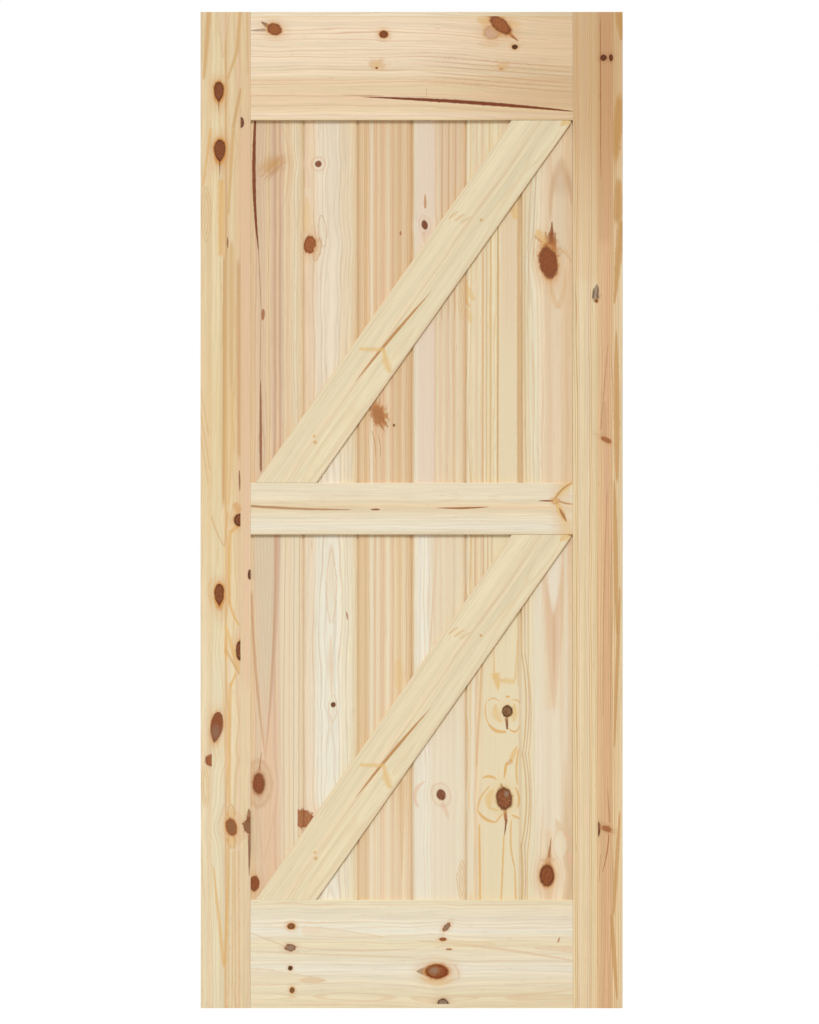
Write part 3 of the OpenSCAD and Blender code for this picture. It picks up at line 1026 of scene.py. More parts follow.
    RIGHT = PineFinish(
        lie=Lie.UPRIGHT, seed=71.0, tint=(0.99, 0.92, 0.83), top_tint_and_painted_shade=(1.0, 0.94, 0.87), pith=(180, 12),
        ring_gap=4.6, ring_tone=Tone.TAWNY, ring_strength=0.9, wander=8.0, sway=1.2, waver=0.8,
        strips=(369, 399, 431),
        tones=((347, Tone.LEMON), (356, Tone.STRAW), (361, Tone.CREAM), (368.5, Tone.LEMON),
               (369.5, Tone.STRAW), (376, Tone.CREAM), (384, Tone.STRAW), (390, Tone.LEMON),
               (398.5, Tone.HONEY), (399.5, Tone.SAND), (408, Tone.SAND), (416, Tone.ROSE),
               (430.5, Tone.SAND), (431.5, Tone.STRAW), (437, Tone.HONEY), (444, Tone.STRAW),
               (452, Tone.LEMON)),
        knots=(
            Knot(411, 2036, 7, 6.5, Tone.CHESTNUT, Tone.BARK, glow=Tone.SIENNA, lean=15, push=0.2),
            Knot(427, 2036, 4.2, 7.5, Tone.CHESTNUT, Tone.BARK, glow=Tone.SIENNA, push=0),
            Knot(396, 1515, 3, 4, Tone.RUSSET, Tone.CHESTNUT, push=0),
            Knot(416, 1218, 12, 5, Tone.SIENNA, Tone.RUST, 0.95, 0.4, lean=-28, fray=1.2, glow=Tone.TAWNY,
                 push=0),
            Knot(400, 384, 4, 15, Tone.CHESTNUT, Tone.BARK, cut=(399, FAR), glow=Tone.CLAY, push=0),
            Knot(418, 385, 11, 6, Tone.SIENNA, Tone.RUST, 0.95, 0.4, lean=-28, fray=1.2, glow=Tone.TAWNY,
                 push=0),
        ),
        marks=(
            # Broad washes over the top end: partly the strips' own tone and partly painted shade, darker
            # towards the door's upper right corner. The widest, tawny one covers the whole stile and reaches
            # past its top.
            Mark((374, 2145), (374, 1560), (30, 0, 24), Tone.AMBER, 0.35, 0.4, 0.2),
            Mark((415, 2145), (415, 1640), (16, 0, 15), Tone.CLAY, 0.35, 0.3, 0.2),
            Mark((400, 2250), (400, 1760), (60, 0, 55), Tone.TAWNY, 0.4, 0.1, 0.1, fade=0.4),
            Mark((404, 2120), (405, 1780), (0.8, 0.4, 0.5), Tone.RUST, 0.7, 0.5, 1.6),
            Mark((444, 2145), (450, 2074), (9, 1, 3), Tone.TOFFEE, 0.85, line=0.3, gap=6),
            Mark((445, 1955), (437, 1814), (5, 5, 3), Tone.TOFFEE, 0.85, 0.5, line=0.3, gap=6, fade=0.12),
            Mark((443, 1775), (442, 1684), (4, 2, 8), Tone.TOFFEE, 0.8, line=0.3, gap=6, fade=0.1),
            Mark((450, 1685), (434, 1510), (7, 2, 1), Tone.TOFFEE, 0.8, line=0.3, gap=6),
            Mark((438, 1450), (440, 1130), (1, 4, 2), Tone.TOFFEE, 0.75, 0.5, line=0.3, gap=6),
            Mark((434, 1130), (440, 800), (1, 3, 1), Tone.TOFFEE, 0.75, 0.5, line=0.3, gap=6),
            Mark((446, 900), (434, 560), (1, 2, 1), Tone.TOFFEE, 0.75, 0.5, line=0.3, gap=6),
            Mark((446, 420), (432, 200), (1, 2, 2), Tone.TOFFEE, 0.75, 0.5, line=0.3, gap=6),
            Mark((428, 200), (440, 20), (2, 2, 1), Tone.TOFFEE, 0.75, 0.5, line=0.3, gap=6),
            Mark((397, 1552), (394, 1512), (0.5, 4, 4.5), Tone.SLATE, 0.85, 0.5, 1.4),
            Mark((391, 1543), (387, 1520), (0.5, 1.4, 1), Tone.BARK, 0.7, 0.6, 1.6),
            Mark((399, 1546), (398, 1518), (0.4, 1.2, 1), Tone.BARK, 0.6, 0.6, 1.6),
            Mark((414, 1300), (413, 1226), (2, 2, 6), Tone.CLAY, 0.5, 0.8, 1.8),
            Mark((420, 1420), (405, 1240), (0.8, 0.4, 1.6), Tone.RUST, 0.4, 0.7, 1.4),
            Mark((419, 1110), (410, 620), (0.7, 0.2, 0.7), Tone.RUST, 0.45, 0.6, 1.4, bow=3),
            Mark((428, 1000), (426, 600), (0.6, 0.2, 0.6), Tone.RUST, 0.35, 0.6, 1.4),
            Mark((422, 372), (408, 290), (1.2, 0.4, 0.4), Tone.RUST, 0.75, 0.5, bow=-3),
            Mark((405, 330), (401, 270), (0.5, 0.2, 0.4), Tone.RUST, 0.6, 0.5),
            Mark((420, 470), (424, 398), (0.4, 0.4, 1.5), Tone.RUST, 0.5),
            Mark((414, 340), (408, 10), (0.6, 0.3, 0.6), Tone.CLAY, 0.5, bow=-5),
        ),
    )

    @classmethod
    def boards(cls) -> list[Board]:
        """Both stiles."""
        return [Board("left_stile", cls.LEFT), Board("right_stile", cls.RIGHT)]


class Rails:
    """The three level boards."""

    TOP = PineFinish(
        # Painted shade: the top tint darkens the rail towards its right end, at the door's upper right
        # corner.
        lie=Lie.LEVEL, seed=13.0, tint=(1.06, 1.06, 1.07), top_tint_and_painted_shade=(0.9, 0.83, 0.74), pith=(2300, 60),
        ring_gap=7.0, ring_tone=Tone.ROSE, ring_strength=0.95, wander=8.0, sway=2.0, waver=1.0, bend=20.0,
        bend_span=(0.0, -347.0), strips=(2125,),
        tones=((1902, Tone.HONEY), (1912, Tone.PEACH), (1925, Tone.HONEY), (1950, Tone.BLUSH),
               (1970, Tone.HONEY), (1986, Tone.BLUSH), (1992, Tone.HONEY), (2000, Tone.PEACH),
               (2012, Tone.STRAW), (2020, Tone.PEACH), (2060, Tone.PEACH), (2100, Tone.PEACH),
               (2118, Tone.PEACH), (2124, Tone.HONEY), (2126, Tone.CREAM), (2134, Tone.CREAM)),
        knots=(
            Knot(-294, 2097, 15.7, 12.5, Tone.RUST, Tone.UMBER, lean=-15, fray=0.4, push=0.2),
            Knot(-60, 2086, 9.4, 7.9, Tone.UMBER, Tone.CHESTNUT, halo=1, push=0.2),
            Knot(172, 2090, 18, 14, Tone.MAUVE, Tone.CLAY, 0.95, 0.25, halo=0.5, cut=(-FAR, 2125), push=0),
            Knot(190, 2106, 27, 14, Tone.RUST, Tone.UMBER, lean=-40, cut=(-FAR, 2125), halo=0.8, fray=0.4,
                 push=0.3),
            Knot(221, 2059, 6.2, 5, Tone.BARK, Tone.BARK, halo=0.9, push=0),
            Knot(-75, 2022, 14, 9, Tone.APRICOT, Tone.AMBER, 0.5, 0.8, fray=2, halo=0.3, push=0),
            Knot(-75, 2014, 2.6, 2.2, Tone.RUSSET, Tone.CHESTNUT, push=0),
            Knot(194, 2018, 12, 7, Tone.APRICOT, Tone.AMBER, 0.45, 0.8, fray=2, halo=0.25, push=0),
            Knot(192, 2012, 4, 1.4, Tone.TAWNY, Tone.TAWNY, 0.7, push=0),
        ),
        marks=(
            Mark((40, 2012), (352, 1988), (26, 0, 26), Tone.PEACH, 0.05, 0.3, 0.2, line=0.55,
                 line_tone=Tone.CLAY, gap=9.5, fade=0.2),
            Mark((-110, 1952), (347, 1921), (0.2, 3.4, 0.8), Tone.PITCH, 0.95, 0.3, bow=-4),
            Mark((-150, 1956), (-60, 1954), (0.3, 0.6, 0.6), Tone.RUST, 0.5),
            Mark((32, 1972), (32, 1950), (0.3, 0.2, 0.3), Tone.UMBER, 0.5, 0.4),
            Mark((-322, 2113), (-300, 2098), (1, 1, 6), Tone.CHESTNUT, 0.8, 0.4),
            Mark((-345, 2094), (-312, 2096), (0.6, 1, 3), Tone.SLATE, 0.7, 0.5),
            Mark((196, 2098), (228, 2072), (6, 0, 1), Tone.RUST, 0.95, 0.4),
            Mark((140, 2118), (165, 2112), (2, 5, 6), Tone.APRICOT, 0.6, 0.7, 1.4),
            Mark((205, 2110), (236, 2108), (8, 3, 1), Tone.APRICOT, 0.45, 0.8, 1.4),
            Mark((140, 2066), (190, 2063), (1, 4, 3), Tone.AMBER, 0.4, 0.8, 1.4),
        ),
    )
    MIDDLE = PineFinish(
        lie=Lie.LEVEL, seed=23.0, pith=(1094, 40), ring_gap=6.5, ring_tone=Tone.AMBER, ring_strength=0.4,
        wander=22.0, sway=3.0,
        tones=((1014, Tone.STRAW), (1020, Tone.CREAM), (1030, Tone.MILK), (1056, Tone.CREAM),
               (1066, Tone.STRAW), (1073, Tone.HONEY), (1081, Tone.STRAW), (1092, Tone.CREAM),
               (1126, Tone.CREAM)),
        knots=(
            Knot(308, 1087, 8, 6, Tone.APRICOT, Tone.TAWNY, 0.7, 0.5, halo=0.5, push=0.3),
        ),
        marks=(
            Mark((318, 1130), (326, 1012), (16, 4, 20), Tone.BLUSH, 0.55, 0.4, 1.2),
            Mark((-346, 1076), (-130, 1068), (2.4, 0.7, 0.8), Tone.SIENNA, 0.75, 0.5, bow=2),
            Mark((-88, 1068.5), (-68, 1068.5), (0.4, 1.6, 0.6), Tone.RUSSET, 0.9, 0.4),
            Mark((54, 1072), (166, 1074), (0.2, 1.9, 0.2), Tone.RUST, 0.9, 0.4, bow=1.5),
            Mark((316, 1096), (340, 1132), (3, 3, 12), Tone.APRICOT, 0.5, 0.8, 1.6),
            Mark((322, 1056), (340, 1010), (3, 5, 10), Tone.APRICOT, 0.5, 0.8, 1.6),
            Mark((305, 1090), (346, 1128), (3, 1, 5), Tone.APRICOT, 0.75, 0.5, bow=-3),
            Mark((306, 1090), (344, 1126), (0.8, 0.6, 0.8), Tone.SIENNA, 0.75, 0.5, bow=-4),
            Mark((309, 1084), (331, 1042), (2, 6, 0.6), Tone.APRICOT, 0.85, 0.5),
            Mark((316, 1072), (332, 1042), (0.6, 2.6, 0.5), Tone.SIENNA, 0.85, 0.5),
            Mark((272, 1087), (312, 1087), (0.2, 1.3, 0.8), Tone.RUSSET, 0.9, 0.3),
            Mark((312, 1088), (346, 1080), (1.4, 0.8, 0.8), Tone.TAWNY, 0.8, 0.4, bow=2),
        ),
    )
    BOTTOM = PineFinish(
        lie=Lie.LEVEL, seed=43.0, tint=(1.0, 1.02, 1.04), pith=(86, 24),
        ring_gap=10.0, ring_tone=Tone.SAND, ring_strength=0.6, wander=30.0, sway=6.0, waver=2.2,
        strips=(9.3,),
        tones=((0, Tone.LEMON), (9, Tone.STRAW), (10, Tone.STRAW), (24, Tone.LEMON), (60, Tone.CREAM),
               (82, Tone.MILK), (118, Tone.CREAM), (138, Tone.LEMON), (150, Tone.CREAM), (166, Tone.MILK),
               (214, Tone.CREAM), (232, Tone.LEMON)),
        knots=(
            Knot(-258, 176, 7.9, 6.3, Tone.WALNUT, Tone.CHESTNUT, halo=1.2, push=0.2),
            Knot(-260, 130, 11.5, 7.2, Tone.SLATE, Tone.UMBER, glow=Tone.CLAY, fray=0.8, push=0.2),
            Knot(-260, 86, 4.9, 4.9, Tone.BARK, Tone.BARK, push=0.2),
            Knot(-256, 39, 5, 6, Tone.WALNUT, Tone.BARK, halo=1.2, push=0.2),
            Knot(75, 174, 11, 5.2, Tone.SLATE, Tone.UMBER, lean=50, fray=0.8, push=0.2),
            Knot(67, 148, 7, 3.8, Tone.RUST, Tone.CHESTNUT, push=0.2),
            Knot(80, 126.5, 6, 1.6, Tone.RUST, Tone.CHESTNUT, 0.8, push=0),
            Knot(54, 79, 25, 16, Tone.RUSSET, Tone.PITCH, halo=0.9, fray=0.3, push=0.5),
            Knot(48, 81, 12, 9, Tone.SLATE, Tone.SIENNA, 0.85, 0.6, fray=1.2, halo=0, push=0),
            Knot(67, 10, 12, 11, Tone.SLATE, Tone.BARK, cut=(9.3, FAR), glow=Tone.CLAY, push=0),
            Knot(315, 146, 1.6, 6, Tone.TAWNY, Tone.UMBER, 0.8, lean=-20, halo=0.3, push=0),
        ),
        marks=(
            Mark((-347, 68), (-182, 60), (19, 2, 0.5), Tone.STRAW, 0.5, 0.3, line=0.5, line_tone=Tone.SAND),
            Mark((-240, 60), (-184, 60), (1, 7, 0.5), Tone.SAND, 0.6, 0.5),
            Mark((-232, 166), (-60, 152), (10, 2, 1), Tone.STRAW, 0.4, 0.3, line=0.4, line_tone=Tone.SAND),
            Mark((-236, 168), (-190, 164), (3, 5, 1), Tone.PEACH, 0.7, 0.5),
            Mark((-347, 162), (-268, 132), (1, 0.6, 1), Tone.CLAY, 0.3),
            Mark((-240, 130), (10, 128), (0.8, 1.2, 0.8), Tone.SAND, 0.6, bow=5),
            Mark((-347, 122), (10, 108), (0.6, 1, 1.4), Tone.SAND, 0.55),
            Mark((10, 145), (346, 102), (1, 1.6, 1.4), Tone.SAND, 0.65, bow=-5),
            Mark((10, 32), (346, 40), (0.6, 1.2, 1), Tone.SAND, 0.55, bow=9),
            Mark((50, 140), (183, 138), (9, 0, 0.5), Tone.STRAW, 0.5, 0.3, line=0.4, line_tone=Tone.SAND),
            Mark((345, 126), (262, 129), (7, 0, 0.5), Tone.BLUSH, 0.6, 0.3, line=0.3, line_tone=Tone.SAND),
            Mark((10, 79), (40, 80), (0.5, 2, 11), Tone.SLATE, 0.9, 0.4),
            Mark((16, 68), (92, 62), (1, 5, 1), Tone.APRICOT, 0.45, 0.7, bow=11),
            Mark((84, 96), (100, 60), (0.6, 1, 0.6), Tone.SAND, 0.7, bow=-8),
        ),
    )

    @classmethod
    def boards(cls) -> list[Board]:
        """The top, middle and bottom rails."""
        return [Board("top_rail", cls.TOP), Board("mid_rail", cls.MIDDLE), Board("bottom_rail", cls.BOTTOM)]


class Planks:
    """The six upright boards of the panel, from left to right."""

    FIRST = PineFinish(
        lie=Lie.UPRIGHT, seed=101.0, tint=(0.99, 0.97, 0.95), top_tint_and_painted_shade=(0.97, 0.94, 0.9), pith=(-412, 20),
        ring_gap=6.0, ring_tone=Tone.CLAY, ring_strength=0.6,
        tones=((-344, Tone.HONEY), (-338, Tone.BLUSH), (-330, Tone.BISQUE), (-316, Tone.BISQUE),
               (-306, Tone.HONEY), (-300, Tone.BISQUE), (-294, Tone.MAUVE), (-288, Tone.BLUSH),
               (-283, Tone.MAUVE), (-278, Tone.BISQUE), (-272, Tone.STRAW), (-266, Tone.BLUSH),
               (-258, Tone.STRAW), (-250, Tone.CREAM), (-242, Tone.STRAW), (-233, Tone.HONEY)),
        knots=(
            Knot(-328, 481, 13, 23, Tone.RUSSET, Tone.UMBER, halo=1.3, glow=Tone.CLAY, ring=0.35,
                 ring_tone=Tone.CLAY),
            Knot(-337, 267, 10.7, 17, Tone.RUSSET, Tone.UMBER, halo=0.6),
            Knot(-298, 1808, 27, 15, Tone.TOFFEE, Tone.CLAY, 0.62, 0.75, fray=1.1, halo=0.1, push=0.2,
                 lean=24),
            Knot(-233, 406, 18, 20, Tone.SIENNA, Tone.RUST, cut=(-244.5, FAR), halo=0.4, fray=1.2,
                 glow=Tone.ROSE, push=0),
        ),
        marks=(
            # Broad pale washes below the mid rail: partly the plank's own tone and partly painted light,
            # paler towards the floor.
            Mark((-260, 1070), (-260, 100), (25, 0, 25), Tone.CREAM, 0.6, 0.3, 0.2, fade=0.08),
            Mark((-300, 1070), (-300, 100), (40, 0, 40), Tone.STRAW, 0.2, 0.2, 0.2, fade=0.08),
            Mark((-335, 1905), (-328, 1622), (2.2, 2.2, 0.8), Tone.PITCH, 0.92, 0.3, bow=6),
            Mark((-328, 1622), (-322, 1490), (0.8, 0.2, 0.6), Tone.RUST, 0.6, 0.5),
            Mark((-318, 1498), (-319, 1474), (1.5, 3, 1), Tone.RUST, 0.8, 0.5),
            Mark((-323, 1480), (-325, 1345), (0.9, 0.4, 0.9), Tone.CLAY, 0.8, 0.5),
            Mark((-324, 1345), (-323, 1150), (0.9, 1.2, 2.4), Tone.RUSSET, 0.8, 0.4),
            Mark((-276, 1890), (-276, 1715), (0.8, 0.4, 0.8), Tone.CLAY, 0.3, 0.7, bow=-13),
            Mark((-262, 1890), (-264, 1715), (0.8, 0.4, 0.8), Tone.SAND, 0.4, 0.7, bow=-9),
            Mark((-324, 1780), (-280, 1824), (1, 3, 1), Tone.TAWNY, 0.35, 0.8, 1.9),
            Mark((-318, 1774), (-284, 1806), (0.6, 2, 0.6), Tone.SIENNA, 0.35, 0.8, 1.9),
            Mark((-310, 1772), (-276, 1812), (0.6, 1.6, 0.6), Tone.SIENNA, 0.3, 0.8, 1.9),
            Mark((-274, 1800), (-278, 1740), (2, 0.6, 1), Tone.ROSE, 0.6),
            Mark((-314, 1070), (-312, 556), (28, 3, 1), Tone.OAT, 0.8, 0.6, 0.2, line=0.25,
                 line_tone=Tone.MAUVE, gap=7, fade=0.12),
            Mark((-288, 1070), (-312, 552), (7, 0, 2), Tone.MAUVE, 0.95, 0.5, 0.4, bow=-7, fade=0.1),
            Mark((-292, 1070), (-312, 552), (2, 0, 2), Tone.CLAY, 0.6, 0.7, 0.4, bow=-7, fade=0.1),
            Mark((-343, 890), (-315, 552), (2.4, 0.6, 1.6), Tone.CLAY, 0.75, bow=5),
            Mark((-270, 1018), (-272, 215), (0.9, 0.2, 0.9), Tone.CLAY, 0.5, 0.6, 0.4, bow=3),
            Mark((-260, 1018), (-261, 215), (0.9, 0.2, 0.9), Tone.SAND, 0.7, 0.6, 0.4, bow=2),
            Mark((-251, 1018), (-252, 215), (0.9, 0.2, 0.9), Tone.CLAY, 0.45, 0.6, 0.4, bow=2),
            Mark((-240, 1018), (-241, 215), (1.2, 0.2, 1.2), Tone.TOFFEE, 0.45, 0.6, 0.4, bow=1),
            Mark((-304, 660), (-302, 180), (16, 4, 18), Tone.PETAL, 0.5, 0.7, 0.4, fade=0.25),
            Mark((-333, 436), (-318, 313), (1, 0.6, 1), Tone.ROSE, 0.7),
            Mark((-290, 436), (-316, 313), (1, 0.6, 1), Tone.ROSE, 0.7),
            Mark((-327, 505), (-322, 548), (2.4, 0, 0.4), Tone.SIENNA, 0.8, 0.4),
        ),
    )
    SECOND = PineFinish(
        lie=Lie.UPRIGHT, seed=113.0, tint=(1.0, 1.03, 1.05), top_tint_and_painted_shade=(0.98, 0.93, 0.89), pith=(-172, 26),
        ring_gap=7.0, ring_tone=Tone.CLAY, ring_strength=0.4, wander=34.0, sway=6.0, waver=2.0,
        tones=((-233, Tone.BLUSH), (-224, Tone.PEACH), (-212, Tone.PEACH), (-200, Tone.MILK),
               (-160, Tone.MILK), (-145, Tone.CREAM), (-132, Tone.CREAM), (-124, Tone.STRAW),
               (-116, Tone.HONEY)),
        knots=(
            Knot(-200, 1809, 6.9, 7, Tone.UMBER, Tone.UMBER, halo=0.5, glow=Tone.BLUSH, ring=0.6),
            Knot(-218, 1636, 12.5, 19.4, Tone.RUST, Tone.RUSSET, lean=-8, halo=0.6, fray=0.8),
            Knot(-168, 650, 5.4, 5.6, Tone.CHESTNUT, Tone.CHESTNUT, halo=0.4, glow=Tone.BLUSH),
            Knot(-230, 406, 18, 20, Tone.SIENNA, Tone.RUST, halo=0.4, fray=1.2, glow=Tone.ROSE),
        ),
        marks=(
            Mark((-223, 1757), (-223, 1648), (9, 0, 9), Tone.PEACH, 0.5, 0.4),
            Mark((-172, 985), (-172, 825), (0.5, 9, 3), Tone.CREAM, 0.4, 0.3, line=0.6, line_tone=Tone.ROSE),
            Mark((-174, 800), (-172, 663), (1, 4, 0.5), Tone.BLUSH, 0.6, 0.4),
            Mark((-168, 672), (-170, 612), (1, 8, 0.5), Tone.MILK, 0.3, 0.3, line=0.6, line_tone=Tone.SAND),
            Mark((-140, 850), (-137, 832), (0.6, 1.4, 0.6), Tone.RUST, 0.7, 0.5, 1.4),
            Mark((-225, 1740), (-226, 1660), (2, 6, 5), Tone.APRICOT, 0.45, 0.7),
            Mark((-208, 1600), (-196, 1650), (2, 5, 2), Tone.SAND, 0.6, 0.5, 1.4, line=0.5),
            Mark((-194, 1700), (-188, 1630), (1, 7, 2), Tone.CREAM, 0.3, 0.3, line=0.5, line_tone=Tone.CLAY),
        ),
    )
    THIRD = PineFinish(
        lie=Lie.UPRIGHT, seed=127.0, tint=(1.01, 1.02, 1.0), top_tint_and_painted_shade=(0.98, 0.94, 0.9), pith=(-330, 10),
        ring_gap=5.0, ring_tone=Tone.TAWNY, ring_strength=0.6, wander=6.0, sway=1.2, waver=0.7,
        tones=((-117, Tone.AMBER), (-110, Tone.SAND), (-104, Tone.HONEY), (-99, Tone.AMBER),
               (-93, Tone.BLUSH), (-88, Tone.CREAM), (-84, Tone.CREAM), (-81, Tone.BLUSH), (-76, Tone.ROSE),
               (-71, Tone.STRAW), (-66, Tone.BLUSH), (-60, Tone.PETAL), (-55, Tone.STRAW),
               (-49, Tone.CREAM), (-45, Tone.BLUSH), (-40, Tone.ROSE), (-35, Tone.HONEY), (-30, Tone.SAND),
               (-25, Tone.AMBER), (-19, Tone.STRAW), (-14, Tone.BLUSH), (-8, Tone.SAND), (-4, Tone.AMBER),
               (0, Tone.AMBER)),
        knots=(
            Knot(-72, 1272, 14, 23, Tone.SIENNA, Tone.RUST, 0.85, 0.6, fray=1.3, halo=0.5, push=0, lean=18),
            Knot(-38, 1249, 2.7, 3, Tone.UMBER, Tone.BARK, 0.85, halo=0.2, push=0),
        ),
        marks=(
            # Broad washes: partly the plank's own tone and partly painted light, paler below the mid rail and
            # darker above it.
            Mark((-58, 1070), (-58, 100), (62, 0, 62), Tone.STRAW, 0.3, 0.2, 0.2, fade=0.08),
            Mark((-58, 420), (-58, 100), (62, 0, 62), Tone.PEACH, 0.35, 0.2, 0.2, fade=0.3),
            Mark((-58, 2050), (-58, 1070), (64, 0, 64), Tone.SAND, 0.35, 0.1, 0.2, fade=0.08),
            Mark((-104, 1070), (-104, 100), (12, 0, 12), Tone.AMBER, 0.4, 0.4, 0.2, fade=0.08),
            Mark((-85, 1908), (-86, 215), (1.4, 0, 1.8), Tone.CREAM, 0.8, 0.5, 0.2),
            Mark((-74, 1018), (-76, 215), (1.4, 0, 1.4), Tone.CREAM, 0.8, 0.5, 0.2),
            Mark((-66, 1018), (-66, 215), (0.8, 0, 0.8), Tone.ROSE, 0.6, 0.5, 0.2),
            Mark((-24, 1665), (-24, 1656), (0.8, 1, 0.8), Tone.RUST, 0.8, 0.4),
            Mark((-28, 748), (-28, 682), (4, 8, 3), Tone.APRICOT, 0.4, 0.8),
            Mark((-20, 490), (-21, 278), (6, 1, 0.6), Tone.AMBER, 0.6, 0.4),
            Mark((-86, 1300), (-60, 1256), (4, 8, 4), Tone.GINGER, 0.5, 0.8, 1.9),
            Mark((-66, 1266), (-50, 1244), (3, 2, 0.5), Tone.SIENNA, 0.7, 0.7, 1.8),
            Mark((-70, 1256), (-58, 1236), (3, 1, 0.5), Tone.SIENNA, 0.7, 0.7, 1.8),
            Mark((-64, 1280), (-46, 1258), (2, 2, 0.5), Tone.TAWNY, 0.7, 0.7, 1.8),
            Mark((-85, 1236), (-78, 1180), (1, 0.4, 0.4), Tone.TAWNY, 0.6, bow=-3),
            Mark((-72, 1228), (-68, 1180), (0.8, 0.4, 0.4), Tone.TAWNY, 0.6, bow=-3),
        ),
    )
    FOURTH = PineFinish(
        lie=Lie.UPRIGHT, seed=139.0, tint=(1.0, 1.03, 1.06), top_tint_and_painted_shade=(0.97, 0.97, 0.98), pith=(-60, 24),
        ring_gap=7.5, ring_tone=Tone.ROSE, ring_strength=0.6, wander=8.0, sway=2.5, waver=1.2,
        tones=((0, Tone.AMBER), (4, Tone.HONEY), (8, Tone.CREAM), (16, Tone.MILK), (34, Tone.MILK),
               (44, Tone.CREAM), (50, Tone.BLUSH), (56, Tone.STRAW), (63, Tone.BLUSH), (70, Tone.STRAW),
               (77, Tone.BLUSH), (84, Tone.STRAW), (91, Tone.SAND), (98, Tone.STRAW), (106, Tone.HONEY),
               (112, Tone.SAND), (116, Tone.AMBER)),
        knots=(
            Knot(28, 1678, 6.2, 10, Tone.UMBER, Tone.CHESTNUT, halo=0.5, glow=Tone.CLAY, lean=12, ring=0.25),
            Knot(63, 457, 9.3, 12, Tone.UMBER, Tone.CHESTNUT, lean=20, halo=0.7, glow=Tone.ROSE, ring=0.4),
        ),
        marks=(
            Mark((30, 2050), (30, 1070), (19, 0, 18), Tone.SHELL, 0.8, 0.3, 0.2, fade=0.08),
            Mark((86, 1915), (86, 1560), (28, 0, 22), Tone.ROSE, 0.4, 0.5, 0.3),
            Mark((66, 1908), (64, 1480), (1.5, 0.4, 1), Tone.CLAY, 0.5, 0.6, 0.4),
            Mark((80, 1908), (78, 1480), (1.5, 0.4, 1), Tone.CLAY, 0.5, 0.6, 0.4),
            Mark((95, 1908), (92, 1480), (1.5, 0.4, 1), Tone.CLAY, 0.5, 0.6, 0.4),
            Mark((56, 1018), (39, 768), (1.8, 0.6, 1.2), Tone.ROSE, 0.7, 0.6, 0.4),
            Mark((39, 768), (37, 540), (1.2, 0.4, 1), Tone.ROSE, 0.55, 0.6, 0.4),
            Mark((29, 1745), (29, 1714), (0.6, 1.2, 2), Tone.TAWNY, 0.8, 0.5),
            Mark((26, 1664), (28, 1640), (5, 0, 2), Tone.ROSE, 0.5),
            # Broad pale washes below the mid rail: partly the plank's own tone and partly painted light,
            # paler towards the floor.
            Mark((80, 1070), (80, 100), (36, 0, 36), Tone.CREAM, 0.4, 0.3, 0.2, fade=0.08),
            Mark((58, 640), (58, 100), (60, 0, 60), Tone.MILK, 0.5, 0.2, 0.2, fade=0.35),
            Mark((28, 486), (14, 430), (2, 2, 3), Tone.PETAL, 0.7, 0.8, bow=14),
            Mark((66, 440), (80, 405), (4, 2, 1), Tone.PETAL, 0.6, 0.7),
            Mark((108, 1560), (108, 1474), (1, 7, 1), Tone.HONEY, 0.3, 0.4, line=0.5, line_tone=Tone.OCHRE,
                 gap=5),
            Mark((108, 318), (108, 232), (1, 8, 3), Tone.HONEY, 0.3, 0.4, line=0.5, line_tone=Tone.OCHRE,
                 gap=5),
        ),
    )
